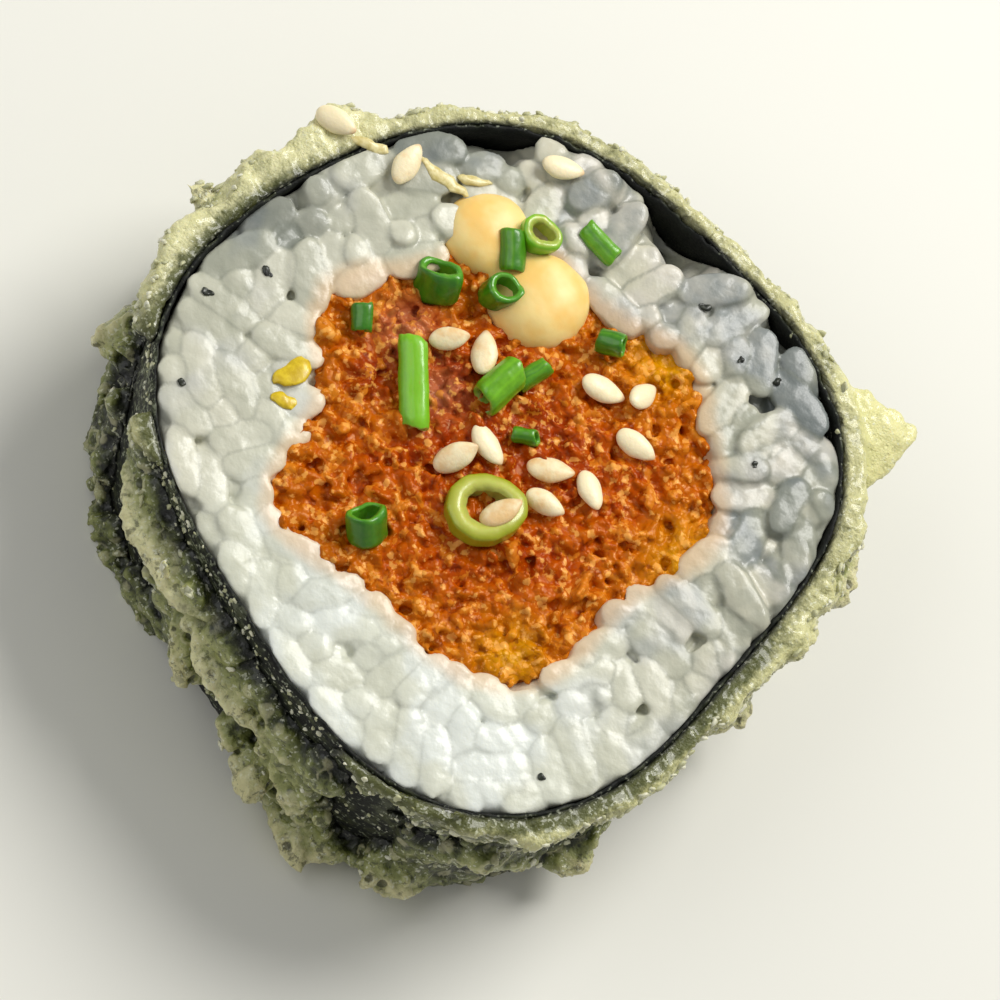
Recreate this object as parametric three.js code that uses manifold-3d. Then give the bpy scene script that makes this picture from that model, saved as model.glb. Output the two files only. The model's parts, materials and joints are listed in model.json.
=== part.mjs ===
// One slice of a battered and fried maki roll, lying on its lower cut face with the garnished face up.
// Millimetres. +Z is the roll's axis, z = 0 is the lower cut, and the origin is on the roll's axis.

import * as THREE from "three";
import { mergeVertices } from "three/addons/utils/BufferGeometryUtils.js";
import Module from "manifold-3d";

const wasm = await Module();
wasm.setup();

// Driving dimensions of the slice.
const sliceHeight = 16; // from cut to cut
const rollRadius = 22.4; // mean, to the outside of the seaweed
const noriThickness = 0.7;
const fillingRadius = 14.4; // mean
const layerGap = 0.3; // clearance between neighbouring layers
const grain = { length: 6.4, width: 2.8, depth: 2.5 };
const seed = { length: 3.1, width: 1.9, depth: 1.1 };
const bluntness = 0.7; // of the ends of grains, seeds and flakes: 1 is a plain egg

// Levels of the upper face.
const riceCoreTop = sliceHeight - 1.35;
const fillingTop = sliceHeight - 0.9;
const mayoFoot = sliceHeight - 1.6;

// Slow waves that pull a round layer out of true: how many to a turn, how high, and where one crests.
const rollWaves = [
  { turns: 2, height: 0.35, crest: -20 },
  { turns: 3, height: 0.95, crest: 65 },
  { turns: 4, height: 0.9, crest: 38 },
  { turns: 5, height: 0.2, crest: -22 },
];
const fillingWaves = [
  { turns: 3, height: 0.45, crest: 41 },
  { turns: 4, height: 0.65, crest: 49 },
  { turns: 5, height: 0.6, crest: 29 },
  { turns: 6, height: 0.7, crest: 5 },
  { turns: 7, height: 0.6, crest: 24 },
];

// The fried batter: a thin coat with lumps, long ridges and blobs on it, and flakes that stand out of it.
const batter = { coat: 0.6, thinnest: 0.35, lumps: 110, lumpHeight: 0.8, lumpReach: 1.9 };
const batterWaves = [
  { turns: 1, height: 0.25, crest: -85 },
  { turns: 2, height: 0.25, crest: 50 },
  { turns: 3, height: 0.15, crest: 160 },
];
// angle round the roll, height up it, rise off the skin, length, width, and slope from level
const ridges = [
  { angle: -122, height: 12.4, rise: 1.7, length: 12, width: 1.5, slope: 6 },
  { angle: -98, height: 10.8, rise: 1.6, length: 9, width: 1.7, slope: -14 },
  { angle: -82, height: 5.2, rise: 2.4, length: 7, width: 3, slope: 30 },
  { angle: -60, height: 3, rise: 2.2, length: 6, width: 2.4, slope: -12 },
  { angle: -44, height: 8.6, rise: 1.3, length: 6.5, width: 1.7, slope: -35 },
  { angle: -14, height: 12.8, rise: 1, length: 8, width: 2, slope: 10 },
  { angle: 6, height: 4.6, rise: 1.7, length: 7.5, width: 2.2, slope: 22 },
  { angle: 28, height: 12.6, rise: 1.8, length: 8.5, width: 2.4, slope: 4 },
  { angle: 46, height: 6.4, rise: 1.5, length: 6, width: 1.8, slope: -40 },
  { angle: 78, height: 9.6, rise: 1.2, length: 8, width: 1.5, slope: 15 },
  { angle: 104, height: 4.4, rise: 1.9, length: 7, width: 2.3, slope: -20 },
  { angle: 136, height: 8.2, rise: 1.6, length: 7, width: 1.8, slope: 38 },
  { angle: 158, height: 14.2, rise: 1.6, length: 9, width: 1.8, slope: -5 },
  { angle: 176, height: 5.6, rise: 2, length: 6, width: 2.2, slope: -28 },
  { angle: -156, height: 9.4, rise: 1.4, length: 8, width: 1.6, slope: 26 },
];
// angle round the roll, height up it, reach out of it, length along the skin, thickness and slope
const flakes = [
  { angle: 49, height: 14.3, reach: 5.4, length: 8, thickness: 1.7, slope: 6 },
  { angle: 180, height: 13.9, reach: 3, length: 4, thickness: 1.5, slope: 20 },
  { angle: -106, height: 7.8, reach: 2.6, length: 7, thickness: 2, slope: -28 },
  { angle: -71, height: 1.9, reach: 3.4, length: 6.5, thickness: 2.6, slope: 8 },
  { angle: -30, height: 3.4, reach: 2.4, length: 6, thickness: 1.9, slope: 16 },
  { angle: 94, height: 11.4, reach: 2.3, length: 5, thickness: 1.6, slope: -20 },
];

// Hollows at the upper rim where the rice doesn't reach the seaweed.
const pockets = [
  { angle: 129, length: 4.4, width: 2.6, depth: 3.2 },
  { angle: 91, length: 6.6, width: 4.4, depth: 4.2 },
  { angle: 67, length: 3, width: 2.2, depth: 2.8 },
];

// Two touching dots of mayonnaise.
const mayoDots = [
  { x: -10.4, y: 11, radius: 3.1, height: 2.6 },
  { x: -5, y: 10, radius: 3.5, height: 2.9 },
];
const mayoBridge = { x: -7.7, y: 10.7, radius: 2.4, height: 2.2 };
const domeFootShare = 0.6; // how far below its middle a dome is cut off, as a share of its upper half

// Sesame seeds, each with the direction that it points in. "on" says which layer carries it.
const seeds = [
  { on: "filling", x: -7.5, y: 3.4, turn: 50 },
  { on: "filling", x: -5.2, y: 4.4, turn: 125 },
  { on: "filling", x: 2.1, y: 8.3, turn: 19 },
  { on: "filling", x: 6.2, y: 7, turn: 6 },
  { on: "filling", x: -0.9, y: -0.2, turn: -14 },
  { on: "filling", x: -1.9, y: -2.3, turn: 68 },
  { on: "filling", x: 3.2, y: 1.6, turn: 33 },
  { on: "filling", x: 4.4, y: -0.4, turn: 13 },
  { on: "filling", x: 6, y: 2.4, turn: -32 },
  { on: "filling", x: 2.7, y: -3.4, turn: 63 },
  { on: "filling", x: 4.3, y: 9.9, turn: 80 },
  { on: "rice", x: -9.8, y: 17.7, turn: 30 },
  { on: "rice", x: -17.4, y: 10.4, turn: 100 },
  { on: "batter", x: -22.7, y: 9.2, turn: 10 },
];

// Snipped chives: short tubes. "rise" lifts one end, and 90 stands the tube upright.
const chives = [
  { on: "mayo", x: -7.9, y: 13, radius: 1.25, length: 1.7, turn: 40, rise: 80, lift: 1.7 },
  { on: "mayo", x: -8.4, y: 10.9, radius: 0.95, length: 2.6, turn: 133, rise: 10, lift: 2.1 },
  { on: "mayo", x: -7.2, y: 8.1, radius: 1.25, length: 1.8, turn: 60, rise: 75, lift: 1.2 },
  { on: "rice", x: -4.6, y: 15.6, radius: 0.7, length: 2.8, turn: -7, rise: 5, lift: 0.6 },
  { on: "filling", x: -10.6, y: 5.9, radius: 1.6, length: 2.6, turn: 130, rise: 60, lift: 0.7 },
  { on: "filling", x: -12.6, y: 0.4, radius: 0.75, length: 1.8, turn: 133, rise: 10, lift: 0.4 },
  { on: "filling", x: -7.2, y: -0.6, radius: 0.95, length: 5.9, turn: 133, rise: 4, lift: 0.7 },
  { on: "filling", x: -3, y: 3.3, radius: 1.2, length: 3, turn: 86, rise: 8, lift: 0.8 },
  { on: "filling", x: -1.9, y: 5.6, radius: 0.8, length: 2.4, turn: 76, rise: 6, lift: 0.6 },
  { on: "filling", x: 0.4, y: 10.9, radius: 0.9, length: 1.8, turn: 20, rise: 30, lift: 0.5 },
  { on: "filling", x: 1.8, y: -3.7, radius: 2.5, length: 1.7, turn: -40, rise: 78, lift: 0.6 },
  { on: "filling", x: -3.1, y: -10, radius: 1.35, length: 2, turn: 150, rise: 50, lift: 0.7 },
  { on: "filling", x: 0.5, y: 2.1, radius: 0.7, length: 1.5, turn: 30, rise: 15, lift: 0.4 },
];
const chiveWallShare = 0.42; // of the tube's radius

const facets = 72; // flats round the roll
const radians = THREE.MathUtils.degToRad;
const fullTurn = 2 * Math.PI;

// A repeatable draw from 0 to 1.
function drawer(start) {
  let state = start;
  return () => {
    state = (state + 0x6d2b79f5) | 0;
    let mixed = Math.imul(state ^ (state >>> 15), 1 | state);
    mixed = (mixed + Math.imul(mixed ^ (mixed >>> 7), 61 | mixed)) ^ mixed;
    return ((mixed ^ (mixed >>> 14)) >>> 0) / 4294967296;
  };
}

// A closed geometry as a solid that can be joined and cut.
function solid(geometry) {
  const bare = geometry.index ? geometry.toNonIndexed() : geometry.clone();
  bare.deleteAttribute("normal");
  bare.deleteAttribute("uv");
  const merged = mergeVertices(bare, 1e-4);
  return new wasm.Manifold(
    new wasm.Mesh({
      numProp: 3,
      vertProperties: merged.attributes.position.array,
      triVerts: new Uint32Array(merged.index.array),
    }),
  );
}

const joined = (solids) => solids.reduce((whole, one) => whole.add(one));

// The largest piece of a solid, without any scrap that a cut has freed.
function largest(whole) {
  return whole.decompose().sort((a, b) => b.volume() - a.volume())[0];
}

function waveSum(waves, angle) {
  return waves.reduce(
    (sum, wave) => sum + wave.height * Math.cos(wave.turns * (angle - radians(wave.crest))),
    0,
  );
}

const noriRadiusAt = (angle) => rollRadius + waveSum(rollWaves, angle);
const riceRadiusAt = (angle) => noriRadiusAt(angle) - noriThickness - layerGap;
const fillingRadiusAt = (angle) => fillingRadius + waveSum(fillingWaves, angle);

// A drum about the Z axis: its side lies at radiusAt(angle, height), its ends at bottomAt and topAt.
// The number of flats around is a multiple of four.
function drum(around, rows, radiusAt, bottomAt, topAt) {
  const shape = new THREE.CylinderGeometry(1, 1, 1, around, rows).rotateX(Math.PI / 2);
  const position = shape.attributes.position;
  for (let i = 0; i < position.count; i++) {
    const reach = Math.hypot(position.getX(i), position.getY(i));
    // the seam's two columns of points share one angle
    const step = Math.round((Math.atan2(position.getY(i), position.getX(i)) / fullTurn) * around);
    const angle = (((step + around) % around) / around) * fullTurn;
    const share = position.getZ(i) + 0.5;
    const bottom = reach > 0.5 ? bottomAt(angle) : bottomAt(0);
    const top = reach > 0.5 ? topAt(angle) : topAt(0);
    const height = bottom + share * (top - bottom);
    const radius = reach > 0.5 ? radiusAt(angle, height) : 0;
    position.setXYZ(i, radius * Math.cos(angle), radius * Math.sin(angle), height);
  }
  return solid(shape);
}

// A straight prism with the given outline.
function prism(around, radiusAt, bottom, top) {
  return drum(around, 1, radiusAt, () => bottom, () => top);
}

// A blunt egg of few sides. The taper draws in its +x end, the bend lifts both ends and the swell grows it.
function egg({ length, width, depth }, taper, bend, swell = 0, sides = 6, rows = 3) {
  const shape = new THREE.SphereGeometry(1, sides, rows).rotateZ(Math.PI / 2);
  const position = shape.attributes.position;
  for (let i = 0; i < position.count; i++) {
    const x = Math.sign(position.getX(i)) * Math.abs(position.getX(i)) ** bluntness;
    const side = 1 - taper * Math.max(0, x);
    position.setXYZ(
      i,
      x * (length / 2 + swell),
      position.getY(i) * (width / 2 + swell) * side,
      position.getZ(i) * (depth / 2 + swell) * side + bend * x * x,
    );
  }
  return shape;
}

// A geometry turned about z after its ends are tilted, then moved into place.
function placed(shape, { x, y, z, turn, rise = 0, roll = 0 }) {
  return shape
    .rotateX(radians(roll))
    .rotateY(-radians(rise))
    .rotateZ(radians(turn))
    .translate(x, y, z);
}

// Rice grains in rings between the filling and the seaweed, lying in the upper cut.
function riceGrains(swell) {
  const draw = drawer(5);
  const rings = [0.03, 0.5, 0.95]; // shares of the way from the filling to the seaweed
  const spacing = 4.7; // along a ring
  const grains = [];
  for (const share of rings) {
    const meanRadius = fillingRadius + share * (rollRadius - fillingRadius);
    const count = Math.round((fullTurn * meanRadius) / spacing);
    for (let i = 0; i < count; i++) {
      const angle = ((i + 0.7 * draw()) / count) * fullTurn;
      const inner = fillingRadiusAt(angle);
      const outer = riceRadiusAt(angle) - 0.3 * grain.depth;
      const radius = inner + share * (outer - inner) + 0.9 * (draw() - 0.5);
      const lengthways = share > 0.9 ? 60 + 60 * draw() : 180 * draw();
      const shape = egg(grain, 0.12, 0.25 * draw(), swell);
      shape.scale(0.86 + 0.2 * draw(), 1, 1);
      placed(shape, {
        x: radius * Math.cos(angle),
        y: radius * Math.sin(angle),
        z: riceCoreTop + 0.05 + 0.7 * (draw() - 0.5),
        turn: THREE.MathUtils.radToDeg(angle) + lengthways,
        rise: 40 * (draw() - 0.5),
        roll: 360 * draw(),
      });
      grains.push(solid(shape));
    }
  }
  return joined(grains);
}

// A snipped tube, closed round its bore.
function chiveTube({ radius, length }, swell = 0) {
  const bore = radius * (1 - chiveWallShare) - swell;
  const half = length / 2 + swell;
  const sides = radius > 2 ? 12 : 7; // the widest ring has more
  const profile = [
    [bore, -half],
    [radius + swell, -half],
    [radius + swell, half],
    [bore, half],
    [bore, -half],
  ].map(([across, along]) => new THREE.Vector2(across, along));
  return new THREE.LatheGeometry(profile, sides).rotateZ(-Math.PI / 2);
}

// What lies on one layer, whose surface has the height topAt(x, y).
function chivesOn(layer, topAt, swell = 0) {
  return chives
    .filter((chive) => chive.on === layer)
    .map((chive) => ({ ...chive, z: topAt(chive.x, chive.y) + chive.lift }))
    .map((chive) => solid(placed(chiveTube(chive, swell), chive)));
}

function seedsOn(layer, topAt) {
  const sunk = 0.3; // share of a seed's depth that is pressed in
  return seeds
    .filter((one) => one.on === layer)
    .map((one) => ({ ...one, z: topAt(one.x, one.y) + (0.5 - sunk) * seed.depth }))
    .map((one) => solid(placed(egg(seed, 0.35, 0), one)));
}

// The mayonnaise: low domes with round shoulders on a flat foot.
function mayoSolid(swell = 0) {
  const domes = [...mayoDots, mayoBridge].map(({ x, y, radius, height }) => {
    const dome = new THREE.SphereGeometry(1, 14, 8).rotateX(Math.PI / 2);
    const halfHeight = height / (1 + domeFootShare);
    dome.scale(radius + swell, radius + swell, halfHeight + swell);
    return solid(dome.translate(x, y, mayoFoot + halfHeight * domeFootShare));
  });
  const foot = prism(24, () => 2 * rollRadius, mayoFoot - swell, 2 * sliceHeight);
  return joined(domes).intersect(foot).add(joined(chivesOn("mayo", () => mayoFoot, swell)));
}

// How thick the coat is at an angle round the roll and a height up it.
function coatAt(angle, height, bumps) {
  let thickness = batter.coat + waveSum(batterWaves, angle);
  for (const bump of bumps) {
    const apart = angle - bump.angle;
    const round = Math.atan2(Math.sin(apart), Math.cos(apart)) * rollRadius;
    const up = height - bump.height;
    const along = (round * Math.cos(bump.slope) + up * Math.sin(bump.slope)) / (bump.length / 2);
    const across = (up * Math.cos(bump.slope) - round * Math.sin(bump.slope)) / (bump.width / 2);
    thickness += bump.rise * Math.exp(-along * along - across * across);
  }
  return Math.max(batter.thinnest, thickness);
}

function batterBumps() {
  const draw = drawer(11);
  const lumps = Array.from({ length: batter.lumps }, () => ({
    angle: fullTurn * draw(),
    height: sliceHeight * draw(),
    rise: batter.lumpHeight * (0.3 + 0.7 * draw()),
    length: 2 * batter.lumpReach * (0.6 + 0.9 * draw()),
    width: 2 * batter.lumpReach * (0.5 + 0.5 * draw()),
    slope: Math.PI * draw(),
  }));
  const turned = ridges.map((ridge) => ({
    ...ridge,
    angle: radians(ridge.angle),
    slope: radians(ridge.slope),
  }));
  return [...lumps, ...turned];
}

function flakeSolid({ angle, height, reach, length, thickness, slope }) {
  const plate = egg({ length: 2 * reach, width: length, depth: thickness }, 0.75, 0, 0, 8, 6);
  const around = radians(angle);
  const radius = noriRadiusAt(around) + batter.coat;
  plate.rotateX(radians(slope)).rotateZ(around);
  return solid(plate.translate(radius * Math.cos(around), radius * Math.sin(around), height));
}

function batterSolid() {
  const bumps = batterBumps();
  const skinAt = (angle, height) => noriRadiusAt(angle) + layerGap + coatAt(angle, height, bumps);
  const rimAt = (angle) => sliceHeight + 0.35 * Math.sin(5 * angle) + 0.3 * Math.sin(11 * angle + 1);
  const coat = drum(92, 11, skinAt, () => 0, rimAt);
  const hole = prism(facets, (angle) => noriRadiusAt(angle) + layerGap, -1, 2 * sliceHeight);
  const slab = prism(24, () => 2 * rollRadius, 0, 2 * sliceHeight);
  return largest(
    joined([coat, ...flakes.map(flakeSolid), ...seedsOn("batter", () => sliceHeight - 0.2)])
      .intersect(slab)
      .subtract(hole),
  );
}

function noriSolid() {
  const rimAt = (angle) => sliceHeight - 0.1 + 0.2 * Math.sin(3 * angle) + 0.12 * Math.sin(8 * angle);
  const sheet = drum(facets, 1, noriRadiusAt, () => layerGap, rimAt);
  return sheet.subtract(prism(facets, (angle) => noriRadiusAt(angle) - noriThickness, -1, 2 * sliceHeight));
}

function pocketSolid({ angle, length, width, depth }) {
  const around = radians(angle);
  const radius = riceRadiusAt(around);
  const hole = new THREE.SphereGeometry(1, 10, 6).scale(width / 2, length / 2, depth).rotateZ(around);
  return solid(hole.translate(radius * Math.cos(around), radius * Math.sin(around), sliceHeight));
}

function riceSolid(mayoRoom) {
  const outline = prism(facets, riceRadiusAt, 0, 2 * sliceHeight);
  const core = prism(facets, riceRadiusAt, 0, riceCoreTop).subtract(
    prism(facets, (angle) => fillingRadiusAt(angle) + layerGap, -1, 2 * sliceHeight),
  );
  const grainTopAt = () => riceCoreTop + 0.35 * grain.depth;
  const garnish = [...seedsOn("rice", grainTopAt), ...chivesOn("rice", () => riceCoreTop)];
  return largest(
    joined([core, riceGrains(0), ...garnish])
      .intersect(outline)
      .subtract(joined(pockets.map(pocketSolid)))
      .subtract(mayoRoom),
  );
}

// The filling's upper face: minced lumps on a low mound.
function minceTopAt(x, y) {
  const mound = 0.5 * Math.exp(-(x * x + y * y) / (fillingRadius * fillingRadius));
  const bentX = 1.9 * x + 1.3 * Math.sin(1.1 * y);
  const bentY = 2.1 * y - 0.8 * Math.sin(1.4 * x);
  const large = 0.34 * Math.sin(bentX) * Math.cos(bentY);
  const small = 0.22 * Math.sin(2.7 * x - 2.2 * y) * Math.sin(2.5 * y + 1.6 * x);
  return fillingTop + mound + large + small;
}

function fillingSolid(mayoRoom) {
  const cells = 22;
  const side = 2.4 * fillingRadius;
  const block = new THREE.BoxGeometry(side, side, fillingTop, cells, cells, 1);
  block.translate(0, 0, fillingTop / 2);
  const position = block.attributes.position;
  for (let i = 0; i < position.count; i++) {
    if (position.getZ(i) > 0.5) position.setZ(i, minceTopAt(position.getX(i), position.getY(i)));
  }
  const mass = solid(block).intersect(prism(facets, fillingRadiusAt, 0, 2 * sliceHeight));
  const garnish = [...seedsOn("filling", minceTopAt), ...chivesOn("filling", minceTopAt)];
  return largest(joined([mass, ...garnish]).subtract(riceGrains(layerGap)).subtract(mayoRoom));
}

// A solid back as a named mesh in its own colour.
function mesh(name, part, color, roughness) {
  const { vertProperties, triVerts } = part.getMesh();
  const shape = new THREE.BufferGeometry();
  shape.setAttribute("position", new THREE.BufferAttribute(vertProperties, 3));
  shape.setIndex(new THREE.BufferAttribute(triVerts, 1));
  const faceted = shape.toNonIndexed();
  faceted.computeVertexNormals();
  const made = new THREE.Mesh(faceted, new THREE.MeshStandardMaterial({ color, roughness, metalness: 0 }));
  made.name = name;
  return made;
}

const mayoRoom = mayoSolid(layerGap);
const slice = new THREE.Group();
slice.add(
  mesh("batter", batterSolid(), 0xb5b074, 0.55),
  mesh("nori", noriSolid(), 0x161d16, 0.45),
  mesh("rice", riceSolid(mayoRoom), 0xdfe3e2, 0.35),
  mesh("filling", fillingSolid(mayoRoom), 0xc2560f, 0.25),
  mesh("mayo", mayoSolid(), 0xf6c588, 0.3),
);

export default slice;
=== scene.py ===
import json
import math
import bmesh
import bpy
import numpy as np
from mathutils import Matrix, Vector
from mathutils.bvhtree import BVHTree
from mathutils.kdtree import KDTree

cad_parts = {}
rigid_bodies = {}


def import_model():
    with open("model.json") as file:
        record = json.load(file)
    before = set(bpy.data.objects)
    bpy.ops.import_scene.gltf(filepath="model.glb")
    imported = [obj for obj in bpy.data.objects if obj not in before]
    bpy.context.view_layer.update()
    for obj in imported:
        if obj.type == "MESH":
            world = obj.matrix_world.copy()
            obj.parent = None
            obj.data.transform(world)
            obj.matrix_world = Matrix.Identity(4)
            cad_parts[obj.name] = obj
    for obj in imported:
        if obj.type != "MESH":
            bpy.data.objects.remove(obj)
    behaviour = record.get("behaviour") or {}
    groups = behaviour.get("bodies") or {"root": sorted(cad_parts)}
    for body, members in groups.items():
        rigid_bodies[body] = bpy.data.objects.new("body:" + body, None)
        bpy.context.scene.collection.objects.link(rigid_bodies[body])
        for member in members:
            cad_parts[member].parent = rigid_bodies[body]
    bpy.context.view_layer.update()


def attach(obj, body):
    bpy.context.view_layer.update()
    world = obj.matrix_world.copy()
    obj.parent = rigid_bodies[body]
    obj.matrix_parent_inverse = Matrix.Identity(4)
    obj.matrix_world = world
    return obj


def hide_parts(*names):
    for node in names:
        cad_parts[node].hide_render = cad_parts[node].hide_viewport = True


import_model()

mm = 0.001
turn = 2 * math.pi
farAway = 99.0                 # mm, past anything on the roll

# the roll's own measures, in mm, as in the solids

roll = {
    "height": 16.0,
    "radius": 22.4,            # to the outside of the seaweed
    "waves": [(2, 0.35, -20), (3, 0.95, 65), (4, 0.9, 38), (5, 0.2, -22)],
    "gap": 0.3,
    "fillingRadius": 14.4,
    "fillingWaves": [(3, 0.45, 41), (4, 0.65, 49), (5, 0.6, 29), (6, 0.7, 5), (7, 0.6, 24)],
}


def waveSum(waves, angle):
    return sum(height * np.cos(turns * (angle - math.radians(crest))) for turns, height, crest in waves)


def noriRadiusAt(angle):
    return roll["radius"] + waveSum(roll["waves"], angle)


def fillingRadiusAt(angle):
    return roll["fillingRadius"] + waveSum(roll["fillingWaves"], angle)


def onWall(angle, radius, height):
    return np.stack([radius * np.cos(angle), radius * np.sin(angle), height], axis=-1)


def polar(points):
    # each point's angle round the roll's axis, and its distance from the axis
    return np.arctan2(points[:, 1], points[:, 0]), np.hypot(points[:, 0], points[:, 1])


def directionOf(heading, rise):
    # arrows of length 1, from their headings and their rises from level
    level = np.cos(rise)
    return np.stack([np.cos(heading) * level, np.sin(heading) * level, np.sin(rise)], axis=1)


def drawer(start):
    # the same repeatable draws from 0 to 1 that the solids use
    state = start

    def draw():
        nonlocal state
        state = (state + 0x6d2b79f5) & 0xffffffff
        mixed = ((state ^ (state >> 15)) * (1 | state)) & 0xffffffff
        mixed = ((mixed + (mixed ^ (mixed >> 7)) * (61 | mixed)) ^ mixed) & 0xffffffff
        return ((mixed ^ (mixed >> 14)) & 0xffffffff) / 4294967296

    return draw


def noiseAt(points, size, seed=0):
    # smooth noise, mostly from -1 to 1, whose lumps are about size apart
    place = np.asarray(points, float) / size + 31.7 * seed
    cell = np.floor(place).astype(np.int64)
    part = place - cell
    ease = part ** 3 * (part * (part * 6 - 15) + 10)
    total = np.zeros(len(place))
    for corner in np.ndindex(2, 2, 2):
        corner = np.array(corner)
        mixed = ((cell + corner) * np.array([73856093, 19349663, 83492791])).sum(1) + seed * 6271
        mixed = ((mixed ^ (mixed >> 13)) * 1274126177) & 0xffffffff
        mixed = mixed ^ (mixed >> 15)
        slope = np.stack([((mixed >> shift) & 1023) / 511.5 - 1 for shift in (0, 10, 20)], axis=1)
        weight = np.prod(np.where(corner, ease, 1 - ease), axis=1)
        total += weight * ((part - corner) * slope).sum(1)
    return total * 1.7


def layeredNoise(points, size, layers, seed=0):
    return sum(noiseAt(points, size / 2 ** i, seed + i) * 0.5 ** i for i in range(layers))


def smoothStep(low, high, value):
    share = np.clip((value - low) / (high - low), 0, 1)
    return share * share * (3 - 2 * share)


def gridFaces(rows, columns, wrapRows=False, wrapColumns=False):
    downs = np.arange(rows if wrapRows else rows - 1)
    acrosses = np.arange(columns if wrapColumns else columns - 1)
    down, across = (part.ravel() for part in np.meshgrid(downs, acrosses, indexing="ij"))
    nextDown, nextAcross = (down + 1) % rows, (across + 1) % columns
    corners = [(down, across), (down, nextAcross), (nextDown, nextAcross), (nextDown, across)]
    return np.stack([row * columns + column for row, column in corners], axis=1)


def rowsReversed(points, rows):
    # the same rows of points, last row first
    return points.reshape(rows, -1, 3)[::-1].reshape(-1, 3)


def ballShape(sides, rows):
    # unit ball with poles on the x axis: points and faces, each pole one point
    lats = np.linspace(0, math.pi, rows + 1)[1:-1]
    lons = np.arange(sides) / sides * turn
    lat, lon = (part.ravel() for part in np.meshgrid(lats, lons, indexing="ij"))
    rings = np.stack([np.cos(lat), np.sin(lat) * np.cos(lon), np.sin(lat) * np.sin(lon)], axis=1)
    points = np.vstack([rings, [[1, 0, 0], [-1, 0, 0]]])
    faces = [tuple(face[::-1]) for face in gridFaces(rows - 1, sides, wrapColumns=True)]
    near, far, last = len(rings), len(rings) + 1, (rows - 2) * sides
    for i in range(sides):
        faces.append((near, i, (i + 1) % sides))
        faces.append((far, last + (i + 1) % sides, last + i))
    return points, faces


def turned(points, twist=0, rise=0, heading=0):
    # twisted about x, then tilted up about y, then turned about z, all in degrees
    spin = (
        Matrix.Rotation(math.radians(heading), 3, "Z")
        @ Matrix.Rotation(-math.radians(rise), 3, "Y")
        @ Matrix.Rotation(math.radians(twist), 3, "X")
    )
    return points @ np.array(spin).T


class Heap:
    # gathers many small shapes into one mesh, and a value per point for each mark
    def __init__(self):
        self.points, self.faces, self.marks, self.count = [], [], {}, 0

    def add(self, points, faces, **marks):
        self.points.append(points)
        self.faces += [tuple(corner + self.count for corner in face) for face in faces]
        self.count += len(points)
        for mark, value in marks.items():
            self.marks.setdefault(mark, []).append(np.broadcast_to(value, len(points)))

    def mesh(self, name):
        marks = {mark: np.concatenate(values) for mark, values in self.marks.items()}
        return makeMesh(name, np.vstack(self.points), self.faces, marks)


def makeMesh(name, points, faces, marks=None, smooth=True):
    mesh = bpy.data.meshes.new(name)
    mesh.from_pydata((np.asarray(points) * mm).tolist(), [], [tuple(map(int, face)) for face in faces])
    mesh.polygons.foreach_set("use_smooth", [smooth] * len(mesh.polygons))
    for mark, values in (marks or {}).items():
        setMark(mesh, mark, values)
    mesh.update()
    return mesh


def pointsOf(mesh):
    flat = np.empty(len(mesh.vertices) * 3, np.float32)
    mesh.vertices.foreach_get("co", flat)
    return flat.reshape(-1, 3).astype(float) / mm


def normalsOf(mesh):
    flat = np.empty(len(mesh.vertices) * 3, np.float32)
    mesh.vertex_normals.foreach_get("vector", flat)
    return flat.reshape(-1, 3).astype(float)


def setPoints(mesh, points):
    mesh.vertices.foreach_set("co", (points * mm).astype(np.float32).ravel())
    mesh.update()


def setMark(mesh, mark, values):
    mesh.attributes.new(mark, "FLOAT", "POINT").data.foreach_set("value", np.asarray(values, np.float32))


def newObject(name, data):
    made = bpy.data.objects.new(name, data)
    bpy.context.scene.collection.objects.link(made)
    return made


def remeshed(mesh, voxel):
    # one skin round everything in the mesh
    helper = newObject("helper", mesh)
    remesh = helper.modifiers.new("skin", "REMESH")
    remesh.mode = "VOXEL"
    remesh.voxel_size = voxel * mm
    remesh.use_smooth_shade = True
    return applied(helper)


def applied(helper):
    whole = helper.evaluated_get(bpy.context.evaluated_depsgraph_get())
    result = bpy.data.meshes.new_from_object(whole)
    mesh = helper.data
    bpy.data.objects.remove(helper)
    bpy.data.meshes.remove(mesh)
    return result


def thinned(mesh, hidden, keep):
    # fewer faces where hidden is true, so that the fine ones are spent on what shows
    helper = newObject("helper", mesh)
    group = helper.vertex_groups.new(name="hidden")
    group.add(np.flatnonzero(hidden).tolist(), 1.0, "REPLACE")
    thin = helper.modifiers.new("thin", "DECIMATE")
    thin.ratio = keep
    thin.vertex_group = "hidden"
    thin.vertex_group_factor = 1.0
    return applied(helper)


def withoutScraps(mesh, smallest):
    # drops every loose scrap that has fewer points than smallest
    shape = bmesh.new()
    shape.from_mesh(mesh)
    seen, scraps = set(), []
    for start in shape.verts:
        if start in seen:
            continue
        seen.add(start)
        island = [start]
        for point in island:
            others = [edge.other_vert(point) for edge in point.link_edges]
            fresh = [other for other in others if other not in seen]
            seen.update(fresh)
            island += fresh
        if len(island) < smallest:
            scraps += island
    bmesh.ops.delete(shape, geom=scraps, context="VERTS")
    shape.to_mesh(mesh)
    shape.free()
    return mesh


def softened(mesh, points, share, rounds):
    # each point's place, or its values, moves towards the mean of its neighbours', by its share
    edges = np.empty(len(mesh.edges) * 2, np.int32)
    mesh.edges.foreach_get("vertices", edges)
    first, second = edges[0::2], edges[1::2]
    ends, others = np.concatenate([first, second]), np.concatenate([second, first])
    count = np.bincount(ends, minlength=len(points))[:, None]
    for _ in range(rounds):
        sums = [np.bincount(ends, values[others], len(points)) for values in points.T]
        total = np.stack(sums, axis=1)
        points = points + (total / count - points) * share[:, None]
    return points


def rayTrees(pieces):
    ready = bpy.context.evaluated_depsgraph_get()
    return [BVHTree.FromObject(piece, ready) for piece in pieces]


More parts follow.
